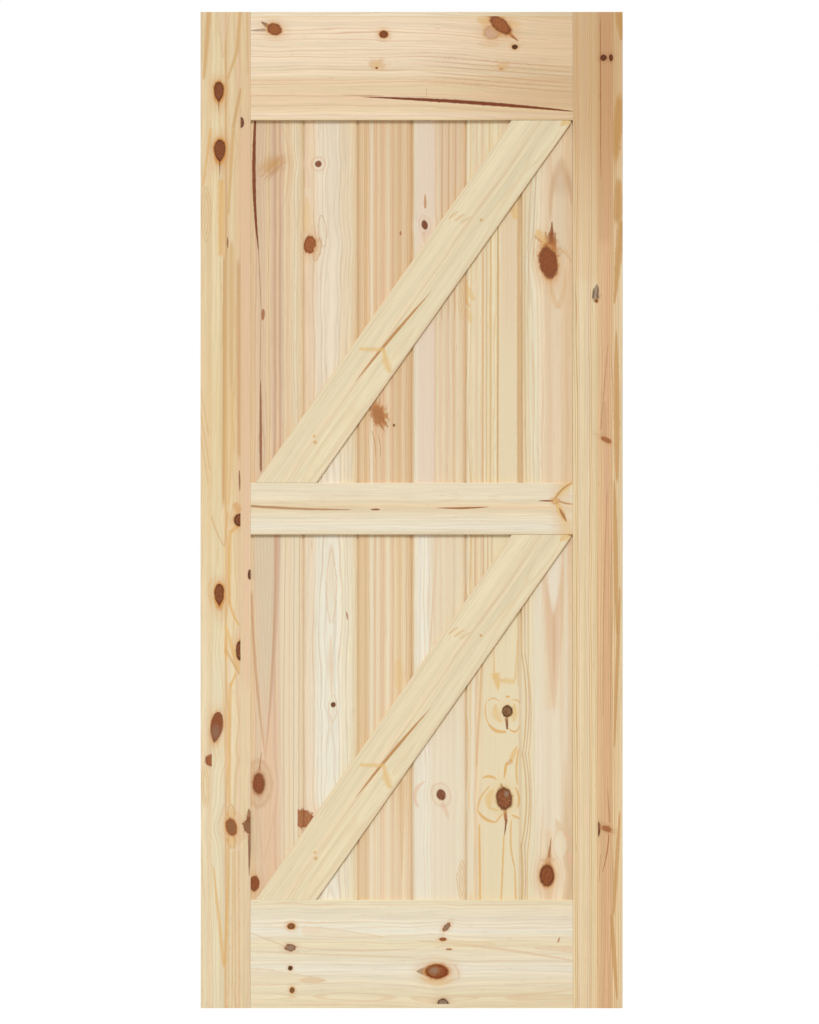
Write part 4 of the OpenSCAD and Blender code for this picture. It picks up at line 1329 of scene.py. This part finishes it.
    FIFTH = PineFinish(
        lie=Lie.UPRIGHT, seed=151.0, tint=(1.0, 1.0, 0.98), top_tint_and_painted_shade=(1.01, 1.05, 1.06), pith=(60, 20),
        ring_gap=8.5, ring_tone=Tone.MARIGOLD, ring_strength=0.6, wander=8.0, sway=2.5, waver=1.2,
        tones=((116, Tone.SAND), (121, Tone.CREAM), (127, Tone.HONEY), (133, Tone.STRAW), (139, Tone.BLUSH),
               (146, Tone.STRAW), (152, Tone.BLUSH), (160, Tone.STRAW), (168, Tone.HONEY),
               (176, Tone.STRAW), (186, Tone.LEMON), (220, Tone.LEMON), (227, Tone.STRAW), (232, Tone.SAND)),
        knots=(
            Knot(205, 636, 12, 13, Tone.WALNUT, Tone.BARK, halo=0.6, glow=Tone.APRICOT, push=0.3),
            Knot(198, 449, 18, 25, Tone.RUSSET, Tone.CHESTNUT, lean=8, halo=0.7, glow=Tone.APRICOT, push=0.3),
            # Painted highlight: a small grey spot stands for the sheen on the large knot.
            Knot(203, 459, 4, 6, Tone.SLATE, Tone.SLATE, 0.8, 0.6, halo=0, push=0),
        ),
        marks=(
            Mark((207, 2100), (207, 1330), (18, 0, 18), Tone.BLUSH, 0.7, 0.3, 0.2, fade=0.2),
            Mark((206, 1470), (206, 1000), (19, 0, 22), Tone.STRAW, 0.85, 0.3, 0.2, fade=0.2),
            # Broad pale wash below the mid rail: partly the plank's own tone and partly painted light, paler
            # towards the floor.
            Mark((194, 1070), (190, 100), (36, 4, 46), Tone.LEMON, 0.8, 0.2, 0.2, fade=0.08),
            Mark((152, 760), (139, 518), (3, 0, 2), Tone.AMBER, 0.8, 0.5, 0.5),
            Mark((133, 745), (126, 240), (3, 0, 5), Tone.MILK, 0.6, 0.6, 0.4),
            Mark((153, 1620), (152, 1120), (1.3, 0.4, 1.3), Tone.OCHRE, 0.7),
            Mark((161, 1640), (160, 1120), (1, 0.3, 1), Tone.TOFFEE, 0.5),
            Mark((170, 1660), (169, 1120), (1.3, 0.4, 1.3), Tone.OCHRE, 0.6),
            Mark((185, 1690), (184, 1120), (1.5, 0.5, 1.6), Tone.TOFFEE, 0.7),
            Mark((228, 1800), (228, 1120), (2, 0.5, 2), Tone.OCHRE, 0.75),
            Mark((214, 1734), (222, 1690), (6, 4, 3), Tone.APRICOT, 0.7, 0.6, 1.2),
            Mark((136, 1018), (136, 860), (1.2, 0.4, 1), Tone.CLAY, 0.5),
            Mark((154, 1018), (154, 880), (1.2, 0.4, 1), Tone.CLAY, 0.5),
            Mark((163, 1018), (163, 890), (1.2, 0.4, 1), Tone.CLAY, 0.5),
            Mark((172, 1018), (172, 900), (1.2, 0.4, 1), Tone.CLAY, 0.5),
            Mark((228, 860), (228, 690), (1.4, 0.2, 1), Tone.OCHRE, 0.6),
            Mark((203, 626), (205, 597), (3, 0.6, 1.6), Tone.UMBER, 0.95, 0.4),
            Mark((196, 464), (191, 482), (6, 0, 0.5), Tone.CHESTNUT, 0.9, 0.4),
            Mark((200, 428), (202, 400), (3, 1, 2.4), Tone.RUST, 0.95, 0.4),
            Mark((203, 404), (199, 370), (2.4, 0.2, 0.6), Tone.RUSSET, 0.95, 0.4),
            Mark((175, 790), (177, 705), (1.2, 0, 2.5), Tone.MARIGOLD, 0.5, 0.8),
            Mark((180, 718), (186, 680), (8, 2, 0.6), Tone.APRICOT, 0.85),
            Mark((186, 702), (222, 700), (3, 2, 4), Tone.APRICOT, 0.65, 0.8),
            Mark((227, 790), (222, 704), (1, 0, 2.2), Tone.MARIGOLD, 0.5, 0.8),
            Mark((201, 668), (210, 667), (1.2, 1, 1.2), Tone.MARIGOLD, 0.95, 0.5),
            Mark((190, 655), (160, 655), (1, 0.6, 1), Tone.MARIGOLD, 0.7, bow=9),
            Mark((160, 655), (164, 610), (1, 0.4, 1.2), Tone.MARIGOLD, 0.7, bow=4),
            Mark((164, 610), (203, 592), (1.2, 2, 2), Tone.MARIGOLD, 0.85, bow=7),
            Mark((180, 652), (192, 612), (2, 6, 2), Tone.APRICOT, 0.6, 0.7, bow=6),
            Mark((214, 660), (234, 650), (1, 0.6, 1), Tone.MARIGOLD, 0.7, bow=-5),
            Mark((206, 602), (232, 606), (1, 1.4, 1), Tone.MARIGOLD, 0.8, bow=12),
            Mark((220, 652), (219, 614), (2, 5, 2), Tone.APRICOT, 0.6, 0.7),
            Mark((226, 562), (212, 530), (1.4, 2, 4), Tone.APRICOT, 0.8, 0.5),
            Mark((216, 531), (202, 521), (4, 1.5, 1.6), Tone.GINGER, 0.6),
            Mark((203, 525), (198, 492), (2.2, 0.8, 1), Tone.MARIGOLD, 0.95, 0.5),
            Mark((230, 556), (227, 478), (1, 0.8, 1.2), Tone.MARIGOLD, 0.8, bow=4),
            Mark((152, 493), (182, 490), (1.4, 1.6, 1), Tone.MARIGOLD, 0.85, bow=-5),
            Mark((168, 476), (141, 424), (1, 0.6, 1.2), Tone.MARIGOLD, 0.8, bow=6),
            Mark((141, 424), (180, 398), (1.2, 1.7, 1.7), Tone.MARIGOLD, 0.85, bow=6),
            Mark((180, 398), (196, 418), (1.7, 0.6, 0.8), Tone.MARIGOLD, 0.8),
            Mark((174, 468), (168, 426), (3, 5, 3), Tone.APRICOT, 0.65, 0.7, bow=6),
            Mark((168, 428), (186, 423), (2.4, 1, 1.5), Tone.APRICOT, 0.65),
            Mark((222, 474), (227, 428), (1, 1.2, 1), Tone.MARIGOLD, 0.85, bow=-5),
            Mark((214, 414), (231, 406), (1, 1.2, 1), Tone.MARIGOLD, 0.8),
            Mark((145, 394), (147, 215), (1.5, 0.8, 1.7), Tone.MARIGOLD, 0.8),
            Mark((198, 372), (191, 215), (1.4, 0.6, 1.4), Tone.MARIGOLD, 0.75),
            Mark((214, 402), (221, 300), (1.4, 0.6, 1.2), Tone.MARIGOLD, 0.75, bow=5),
            Mark((221, 300), (224, 215), (1.2, 0.4, 1.6), Tone.MARIGOLD, 0.75),
            Mark((118, 1560), (126, 1500), (2, 2.9, 1), Tone.MARIGOLD, 0.65, 0.7, 1.5, bow=8),
            Mark((116, 1548), (134, 1516), (2, 4, 2), Tone.APRICOT, 0.6, 0.7, 1.5),
            Mark((118, 1500), (128, 1468), (2, 4, 2), Tone.APRICOT, 0.5, 0.7, 1.5),
        ),
    )
    SIXTH = PineFinish(
        lie=Lie.UPRIGHT, seed=163.0, tint=(0.98, 1.0, 0.99), top_tint_and_painted_shade=(0.99, 1.02, 1.02), pith=(180, 20),
        ring_gap=8.5, ring_tone=Tone.AMBER, ring_strength=0.6, wander=10.0, sway=4.0, waver=1.8,
        # The sand stop near the right edge is partly the plank's own tone and partly painted shade beside the
        # proud right stile.
        tones=((232, Tone.SAND), (240, Tone.HONEY), (250, Tone.STRAW), (260, Tone.CREAM), (285, Tone.PEACH),
               (294, Tone.BLUSH), (305, Tone.PEACH), (316, Tone.PEACH), (324, Tone.BLUSH), (333, Tone.SAND),
               (340, Tone.BLUSH), (346, Tone.HONEY)),
        knots=(
            Knot(293, 1598, 20, 35, Tone.RUSSET, Tone.UMBER, halo=0.8, fray=0.4, lean=11),
            Knot(290, 284, 16, 24, Tone.RUSSET, Tone.CHESTNUT, halo=0.8, fray=0.2),
        ),
        marks=(
            # Broad washes: partly the plank's own tone and partly painted light, pinker above the mid rail
            # and paler below it.
            Mark((310, 2050), (306, 1070), (28, 0, 26), Tone.BLUSH, 0.5, 0.5, 0.3, fade=0.08),
            Mark((288, 860), (288, 420), (60, 0, 60), Tone.CREAM, 0.35, 0.2, 0.2, fade=0.3),
            Mark((236, 1780), (237, 1120), (1.6, 0.4, 1.6), Tone.TOFFEE, 0.6),
            Mark((244, 1780), (246, 1120), (1.2, 0.4, 1.2), Tone.CLAY, 0.4, bow=3),
            Mark((258, 1800), (252, 1500), (1.2, 0.4, 1.2), Tone.CLAY, 0.4, bow=4),
            Mark((272, 1830), (262, 1600), (1.2, 0.4, 1.2), Tone.CLAY, 0.4, bow=4),
            Mark((321, 1822), (320, 1745), (5, 5, 17), Tone.CLAY, 0.5, 0.8, 0.5, fade=0.25),
            Mark((306, 1790), (297, 1690), (4, 1, 2), Tone.CLAY, 0.45, 0.8, bow=2, fade=0.2),
            Mark((333, 1790), (343, 1720), (4, 1, 2), Tone.CLAY, 0.5, 0.8, bow=-2, fade=0.2),
            Mark((320, 1790), (319, 1610), (4, 6, 13), Tone.OAT, 0.5, 0.7, 0.5, fade=0.1),
            Mark((295, 1610), (299, 1662), (18, 2, 6), Tone.RUST, 0.75, 0.7, 1.9),
            Mark((299, 1636), (301, 1686), (6, 1, 0.4), Tone.RUSSET, 0.9, 0.5, 1.6),
            Mark((304, 1618), (308, 1664), (6, 1, 0.4), Tone.RUST, 0.8, 0.5, 1.6),
            Mark((290, 1628), (287, 1664), (4, 1, 1), Tone.RUSSET, 0.6, 0.6, 1.9),
            Mark((286, 1638), (268, 1668), (7, 4, 3), Tone.APRICOT, 0.75, 0.7, 1.6),
            Mark((280, 1640), (262, 1655), (2, 1, 1), Tone.TAWNY, 0.5, 0.6, 1.4),
            Mark((311, 1630), (342, 1598), (2, 2, 1), Tone.AMBER, 0.7, bow=-5),
            Mark((297, 1566), (314, 1500), (1, 1, 6), Tone.AMBER, 0.5, bow=4),
            Mark((328, 1585), (314, 1500), (1, 1, 6), Tone.AMBER, 0.5, bow=-6),
            Mark((303, 1080), (305, 630), (26, 5, 1), Tone.ROSE, 0.6, 0.5, 0.4, line=0.3,
                 line_tone=Tone.SAND, fade=0.12),
            Mark((303, 1080), (304, 845), (20, 7, 1.5), Tone.MILK, 0.85, 0.5, 0.4, fade=0.2),
            Mark((305, 850), (305, 700), (4, 1, 1), Tone.CLAY, 0.35, 0.8, fade=0.2),
            Mark((331, 1070), (330, 520), (4, 0, 4), Tone.MILK, 0.55, 0.6, 0.3, fade=0.12),
            Mark((272, 1070), (274, 420), (8, 0, 10), Tone.MILK, 0.4, 0.5, 0.3, fade=0.12),
            Mark((300, 640), (302, 380), (18, 4, 18), Tone.MILK, 0.4, 0.6, 0.3),
            Mark((244, 820), (244, 180), (14, 0, 14), Tone.LEMON, 0.7, 0.4, 0.2, fade=0.12),
            Mark((234, 1018), (236, 752), (1.4, 0.4, 1.2), Tone.OCHRE, 0.65),
            Mark((241, 1018), (243, 752), (1.2, 0.4, 1), Tone.CLAY, 0.5),
            Mark((249, 1018), (250, 712), (1.2, 0.4, 1), Tone.CLAY, 0.45),
            Mark((236, 760), (237, 540), (1.2, 0.4, 1.2), Tone.TOFFEE, 0.6, bow=-9),
            Mark((243, 760), (243, 540), (1, 0.4, 1), Tone.CLAY, 0.6, bow=-9),
            Mark((250, 720), (250, 540), (1, 0.4, 1), Tone.OCHRE, 0.6, bow=-6),
            Mark((237, 548), (235, 345), (1.2, 0.4, 1.2), Tone.TOFFEE, 0.6, bow=-10),
            Mark((243, 548), (242, 345), (1, 0.4, 1), Tone.CLAY, 0.6, bow=-10),
            Mark((250, 548), (250, 345), (1, 0.4, 1), Tone.OCHRE, 0.6, bow=-6),
            Mark((235, 353), (236, 215), (1.2, 1, 1.6), Tone.TOFFEE, 0.6, bow=-2),
            Mark((242, 353), (242, 215), (1, 0.4, 1), Tone.CLAY, 0.6, bow=-2),
            Mark((250, 353), (249, 215), (1, 0.4, 1), Tone.OCHRE, 0.6, bow=2),
            Mark((292, 302), (299, 366), (7, -1, 0.5), Tone.SIENNA, 0.85, 0.5, 1.2),
            Mark((276, 316), (308, 318), (3, 3, 2), Tone.ROSE, 0.6, 0.7, 1.4),
            Mark((309, 406), (322, 372), (0.5, 2, 12), Tone.SAND, 0.65, 0.4),
            Mark((324, 376), (344, 356), (5, 1, 1), Tone.PETAL, 0.8, 0.5),
            Mark((318, 380), (318, 318), (5, 10, 4), Tone.CREAM, 0.7, 0.3, 0.6, line=0.4,
                 line_tone=Tone.ROSE),
            Mark((336, 330), (344, 310), (3, 4, 2), Tone.PETAL, 0.8),
        ),
    )
    FINISHES = (FIRST, SECOND, THIRD, FOURTH, FIFTH, SIXTH)

    @classmethod
    def boards(cls) -> list[Board]:
        """All six planks."""
        return [Board(f"plank_{number}", finish) for number, finish in enumerate(cls.FINISHES, 1)]


class DowelGroups:
    """The fluted beech dowels in the corner joints."""

    NODES = ("top_left_dowels", "top_right_dowels", "bottom_left_dowels", "bottom_right_dowels")
    FINISH = PineFinish(
        lie=Lie.LEVEL, seed=7.0, pith=(-300, 40), tones=((0, Tone.BEECH), (2134, Tone.BEECH)), ring_gap=2.0,
        ring_strength=0.3, sway=0.5,
    )

    def dress(self, effects: PineEffects) -> None:
        """Give every dowel the same short-grained beech.

        Args:
            effects: The shared shader groups.
        """
        beech = PineMaterial("beech_dowels", self.FINISH, effects).build()
        for node in self.NODES:
            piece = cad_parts[node]
            piece.data.materials.clear()
            piece.data.materials.append(beech)
            log.info("dowels %s", node)


@dataclass(frozen=True)
class ZincFinish:
    """Bright plating on the screws."""

    colour: tuple[float, float, float, float] = (0.62, 0.59, 0.5, 1.0)
    roughness: Point = (0.24, 0.42)
    cloud_scale: float = 900.0

    def material(self) -> bpy.types.Material:
        """Build the plated metal, a little uneven in its shine.

        Returns:
            The material.
        """
        material = bpy.data.materials.new("zinc_plated_steel")
        material.use_nodes = True
        graph = Graph(material.node_tree)
        graph.tree.nodes.clear()
        source = graph.node("ShaderNodeTexCoord")
        fine = graph.vector("MULTIPLY", source.outputs["Object"], (self.cloud_scale,) * 3)
        cloud = graph.noise(fine, 3.0)
        shine = graph.node("ShaderNodeMapRange")
        for socket, value in zip(shine.inputs, (cloud, *NOISE_SPAN, *self.roughness)):
            graph.feed(socket, value)
        surface = graph.node("ShaderNodeBsdfPrincipled")
        graph.fill(surface, {"Base Color": self.colour, "Metallic": 1.0, "Roughness": shine.outputs[0]})
        graph.feed(graph.node("ShaderNodeOutputMaterial").inputs[0], surface.outputs[0])
        return material


@dataclass(frozen=True)
class ScrewShape:
    """Sizes of one countersunk wood screw, in millimetres.

    The collar ends, and the shank and the thread begin, at distances below the neck. The thread is shorter by
    thread_less than what lies between the neck and the tip.
    """

    head_radius: float = 4.0
    rim: float = 0.4
    bevel: float = 0.15
    bevel_depth: float = 0.12
    shank_radius: float = 1.55
    collar_ratio: float = 1.25
    neck: float = 2.4
    collar_to: float = 2.5
    shank_from: float = 3.1
    length: float = 22.0
    tip: float = 4.0
    point_radius: float = 0.12
    thread_from: float = 3.2
    thread_less: float = 3.4
    thread_pitch: float = 1.8
    thread_height: float = 0.45
    thread_steps: int = 20
    recess_span: float = 4.0
    recess_width: float = 0.9
    recess_depth: float = 1.6
    sides: int = 32


class ScrewTree:
    """Geometry Nodes that turn one screw on a lathe, wind its thread, and set a copy at every point."""

    def __init__(self, shape: ScrewShape, material: bpy.types.Material) -> None:
        """Build the tree.

        Args:
            shape: The screw's sizes.
            material: What it is made of.
        """
        self.shape = shape
        self.tree = bpy.data.node_groups.new("Wood Screws", "GeometryNodeTree")
        face = self.tree.interface
        face.new_socket("Geometry", in_out="INPUT", socket_type="NodeSocketGeometry")
        self.inputs = {
            label: face.new_socket(label, in_out="INPUT", socket_type=f"NodeSocket{kind}").identifier
            for label, kind in (("Turn", "Float"), ("Scale", "Float"), ("Seed", "Int"))
        }
        face.new_socket("Geometry", in_out="OUTPUT", socket_type="NodeSocketGeometry")
        self.graph = Graph(self.tree)
        source = self.graph.node("NodeGroupInput")
        joined = self.graph.node("GeometryNodeJoinGeometry")
        self.graph.feed(joined.inputs[0], self.body())
        self.graph.feed(joined.inputs[0], self.thread())
        turn = self.graph.node("FunctionNodeRandomValue", data_type="FLOAT")
        for socket, value in ((turn.inputs[2], 0.0), (turn.inputs[3], source.outputs["Turn"]),
                              (turn.inputs["Seed"], source.outputs["Seed"])):
            self.graph.feed(socket, value)
        lay = self.graph.join(math.pi / 2, turn.outputs[1], 0.0)
        placed = self.graph.node("GeometryNodeInstanceOnPoints")
        self.graph.fill(placed, {"Points": source.outputs["Geometry"], "Instance": joined.outputs[0],
                                 "Rotation": lay, "Scale": source.outputs["Scale"]})
        real = self.graph.node("GeometryNodeRealizeInstances")
        self.graph.feed(real.inputs[0], placed.outputs[0])
        plated = self.graph.node("GeometryNodeSetMaterial")
        self.graph.fill(plated, {"Geometry": real.outputs[0], "Material": material})
        self.graph.feed(self.graph.node("NodeGroupOutput").inputs[0], plated.outputs[0])

    def body(self) -> Socket:
        """Turn the head, shank and tip from one profile and cut the cross recess.

        Returns:
            The body's mesh.
        """
        shape, graph = self.shape, self.graph
        collar = shape.collar_ratio * shape.shank_radius
        profile = (
            (0.0, shape.head_radius - shape.bevel),
            (shape.bevel_depth, shape.head_radius),
            (shape.rim, shape.head_radius),
            (shape.neck, collar),
            (shape.neck + shape.collar_to, collar),
            (shape.neck + shape.shank_from, shape.shank_radius),
            (shape.length - shape.tip, shape.shank_radius),
            (shape.length, shape.point_radius),
        )
        line = graph.node("GeometryNodeMeshLine")
        graph.fill(line, {"Count": len(profile)})
        curve = graph.node("GeometryNodeMeshToCurve")
        graph.feed(curve.inputs[0], line.outputs[0])
        index = graph.node("GeometryNodeInputIndex").outputs[0]
        heights, radii = (self.pick(index, [point[part] for point in profile]) for part in (0, 1))
        placed = graph.node("GeometryNodeSetPosition")
        graph.fill(placed, {"Geometry": curve.outputs[0], "Position": graph.join(0.0, 0.0, heights)})
        sized = graph.node("GeometryNodeSetCurveRadius")
        graph.fill(sized, {"Curve": placed.outputs[0], "Radius": radii})
        ring = graph.node("GeometryNodeCurvePrimitiveCircle")
        graph.fill(ring, {"Resolution": shape.sides, "Radius": 1.0})
        turned = graph.node("GeometryNodeCurveToMesh")
        graph.fill(turned, {"Curve": sized.outputs[0], "Profile Curve": ring.outputs[0], "Fill Caps": True})
        cut = graph.node("GeometryNodeMeshBoolean", operation="DIFFERENCE")
        graph.feed(cut.inputs["Mesh 1"], turned.outputs[0])
        for size in ((shape.recess_span, shape.recess_width), (shape.recess_width, shape.recess_span)):
            slot = graph.node("GeometryNodeMeshCube")
            graph.fill(slot, {"Size": (*size, 2.0 * shape.recess_depth)})
            graph.feed(cut.inputs["Mesh 2"], slot.outputs[0])
        return cut.outputs[0]

    def thread(self) -> Socket:
        """Wind a sharp thread round the lower shank.

        Returns:
            The thread's mesh.
        """
        shape, graph = self.shape, self.graph
        run = shape.length - shape.tip - shape.neck - shape.thread_less
        spiral = graph.node("GeometryNodeCurveSpiral")
        graph.fill(spiral, {"Resolution": shape.thread_steps, "Rotations": run / shape.thread_pitch,
                            "Start Radius": shape.shank_radius, "End Radius": shape.shank_radius,
                            "Height": run})
        ridge = graph.node("GeometryNodeCurvePrimitiveCircle")
        graph.fill(ridge, {"Resolution": 3, "Radius": shape.thread_height})
        wound = graph.node("GeometryNodeCurveToMesh")
        graph.fill(wound, {"Curve": spiral.outputs[0], "Profile Curve": ridge.outputs[0], "Fill Caps": True})
        moved = graph.node("GeometryNodeTransform")
        graph.fill(moved, {"Geometry": wound.outputs[0],
                           "Translation": (0.0, 0.0, shape.neck + shape.thread_from)})
        return moved.outputs[0]

    def pick(self, index: Socket, values: list[float]) -> Socket:
        """Choose a value by a point's index.

        Args:
            index: The index's socket.
            values: One value for each point.

        Returns:
            The value's socket.
        """
        switch = self.graph.node("GeometryNodeIndexSwitch", data_type="FLOAT")
        while len(switch.index_switch_items) < len(values):
            switch.index_switch_items.new()
        self.graph.feed(switch.inputs["Index"], index)
        for socket, value in zip(list(switch.inputs)[1:], values):
            socket.default_value = value
        return switch.outputs[0]


@dataclass
class ScrewSet:
    """The threaded screws that replace one group of plain CAD screws."""

    node: str
    seed: int
    spread: float = 0.012
    places: list[Vector] = field(default_factory=list)

    def find_places(self) -> None:
        """Read where each head's middle lies from the CAD group's solids."""
        points = [vertex.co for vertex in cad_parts[self.node].data.vertices]
        head = max(point.y for point in points)
        spots: list[list[Vector]] = []
        for point in points:
            for spot in spots:
                if (point - spot[0]).xz.length < self.spread:
                    spot.append(point)
                    break
            else:
                spots.append([point])
        for spot in spots:
            across = [point.x for point in spot]
            up = [point.z for point in spot]
            self.places.append(Vector(((min(across) + max(across)) / 2, head, (min(up) + max(up)) / 2)))

    def build(self, screws: ScrewTree) -> None:
        """Set a screw at every place and hand the piece to the frame.

        Args:
            screws: The shared Geometry Nodes tree.
        """
        self.find_places()
        name = self.node.replace("screws", "wood_screws")
        points = bpy.data.meshes.new(f"{name}_points")
        points.from_pydata([tuple(place) for place in self.places], [], [])
        holder = bpy.data.objects.new(f"{name}_points", points)
        bpy.context.scene.collection.objects.link(holder)
        modifier = holder.modifiers.new("screws", "NODES")
        modifier.node_group = screws.tree
        for label, value in (("Turn", math.pi), ("Scale", MM), ("Seed", self.seed)):
            modifier[screws.inputs[label]] = value
        shaped = holder.evaluated_get(bpy.context.evaluated_depsgraph_get())
        mesh = bpy.data.meshes.new_from_object(shaped)
        mesh.name = name
        bpy.data.objects.remove(holder)
        bpy.data.meshes.remove(points)
        piece = bpy.data.objects.new(name, mesh)
        bpy.context.scene.collection.objects.link(piece)
        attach(piece, BODY)
        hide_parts(self.node)
        log.info("screws %s: %d", name, len(self.places))


@dataclass(frozen=True)
class Lamp:
    """A rectangular lamp that points at the door. Places and sizes are in metres, power in watts."""

    name: str
    place: tuple[float, float, float]
    power: float
    size: Point
    colour: tuple[float, float, float]
    aim: Point = (0.0, 1.07)
    spread: float = 180.0

    def hang(self) -> None:
        """Hang the lamp, turned to where it aims on the door's face."""
        data = bpy.data.lights.new(self.name, "AREA")
        data.shape = "RECTANGLE"
        data.size, data.size_y = self.size
        data.energy = self.power
        data.color = self.colour
        data.spread = math.radians(self.spread)
        lamp = bpy.data.objects.new(self.name, data)
        lamp.location = self.place
        lamp.visible_camera = False
        way = Vector((self.aim[0], 0.0, self.aim[1])) - lamp.location
        lamp.rotation_euler = way.to_track_quat("-Z", "Y").to_euler()
        bpy.context.scene.collection.objects.link(lamp)


@dataclass(frozen=True)
class Studio:
    """White floor, plain soft light, and a long lens square to the door's front.

    The door's edges are in pixels of the photograph, and the other sizes in metres.
    """

    photo_size: tuple[int, int] = (819, 1024)
    door_left: float = 200.6
    door_right: float = 622.7
    door_bottom: float = 1008.36
    distance: float = 14.0
    sensor: float = 36.0
    world_light: float = 0.605
    world_tint: tuple[float, float, float, float] = (1.044, 1.0, 0.941, 1.0)
    floor_half: float = 30.0
    floor_colour: tuple[float, float, float, float] = (0.55, 0.53, 0.5, 1.0)
    floor_glow: float = 1.3
    floor_glow_share: float = 0.75
    lamps: tuple[Lamp, ...] = (
        Lamp("key", place=(0.9, -9.6, 8.6), power=53.5, size=(1.6, 4.0), colour=(0.93, 1.0, 1.09),
             aim=(-0.5, 0.0), spread=40.0),
        Lamp("back_fill", place=(1.5, 11.0, 8.0), power=700.0, size=(3.0, 2.0), colour=(0.9, 1.0, 1.15)),
    )

    def camera(self) -> None:
        """Stand the camera where the door fills the same pixels as in the photograph."""
        low, high = CAD_BOX
        scale = (high.x - low.x) / (self.door_right - self.door_left)
        wide, tall = self.photo_size
        x = low.x + (wide / 2 - self.door_left) * scale
        z = low.z + (self.door_bottom - tall / 2) * scale
        data = bpy.data.cameras.new("camera")
        data.sensor_width = self.sensor
        data.lens = self.sensor * self.distance / (tall * scale)
        camera = bpy.data.objects.new("camera", data)
        camera.location = (x, low.y - self.distance, z)
        camera.rotation_euler = (math.pi / 2, 0.0, 0.0)
        bpy.context.scene.collection.objects.link(camera)
        bpy.context.scene.camera = camera

    def seen_directly(self, graph: Graph) -> Socket:
        """A mask that is 1 for what the camera sees, also through gloss or glass.

        Args:
            graph: The tree that asks.

        Returns:
            The mask's socket.
        """
        path = graph.node("ShaderNodeLightPath")
        seen = graph.math("MAXIMUM", path.outputs["Is Camera Ray"], path.outputs["Is Glossy Ray"])
        return graph.math("MAXIMUM", seen, path.outputs["Is Transmission Ray"])

    def world(self) -> None:
        """Even light from all round, with a white background."""
        world = bpy.data.worlds.new("studio")
        bpy.context.scene.world = world
        world.use_nodes = True
        graph = Graph(world.node_tree)
        graph.tree.nodes.clear()
        back = graph.node("ShaderNodeBackground")
        lift = graph.math("MULTIPLY_ADD", self.seen_directly(graph), 1.0 - self.world_light, self.world_light)
        tint = graph.blend(self.seen_directly(graph), self.world_tint, (1.0, 1.0, 1.0, 1.0))
        graph.fill(back, {"Color": tint, "Strength": lift})
        graph.feed(graph.node("ShaderNodeOutputWorld").inputs[0], back.outputs[0])

    def floor(self) -> None:
        """A white floor that keeps a faint shadow of the door."""
        half = self.floor_half
        mesh = bpy.data.meshes.new("floor")
        corners = [(-half, -half, 0), (half, -half, 0), (half, half, 0), (-half, half, 0)]
        mesh.from_pydata(corners, [], [(0, 1, 2, 3)])
        floor = bpy.data.objects.new("floor", mesh)
        bpy.context.scene.collection.objects.link(floor)
        material = bpy.data.materials.new("white_floor")
        material.use_nodes = True
        graph = Graph(material.node_tree)
        graph.tree.nodes.clear()
        matt = graph.node("ShaderNodeBsdfDiffuse")
        graph.fill(matt, {"Color": self.floor_colour})
        glow = graph.node("ShaderNodeEmission")
        graph.fill(glow, {"Strength": self.floor_glow})
        mixed = graph.node("ShaderNodeMixShader")
        graph.feed(mixed.inputs[0], graph.times(self.seen_directly(graph), self.floor_glow_share))
        graph.feed(mixed.inputs[1], matt.outputs[0])
        graph.feed(mixed.inputs[2], glow.outputs[0])
        graph.feed(graph.node("ShaderNodeOutputMaterial").inputs[0], mixed.outputs[0])
        mesh.materials.append(material)

    def build(self) -> None:
        """Set the stage, the light and the camera."""
        bpy.context.scene.view_settings.view_transform = "Standard"
        self.camera()
        self.world()
        self.floor()
        for lamp in self.lamps:
            lamp.hang()
        log.info("studio ready")


def main() -> None:
    """Dress every piece of the door and set the studio."""
    logging.basicConfig(level=logging.INFO, format="%(name)s: %(message)s")
    Studio().build()
    effects = PineEffects()
    for group in (Stiles, Rails, Braces, Planks):
        for board in group.boards():
            board.dress(effects)
    DowelGroups().dress(effects)
    screws = ScrewTree(ScrewShape(), ZincFinish().material())
    for seed, node in enumerate(("mid_rail_screws", "upper_brace_screws", "lower_brace_screws"), 1):
        ScrewSet(node, seed).build(screws)


if __name__ == "__main__":
    main()
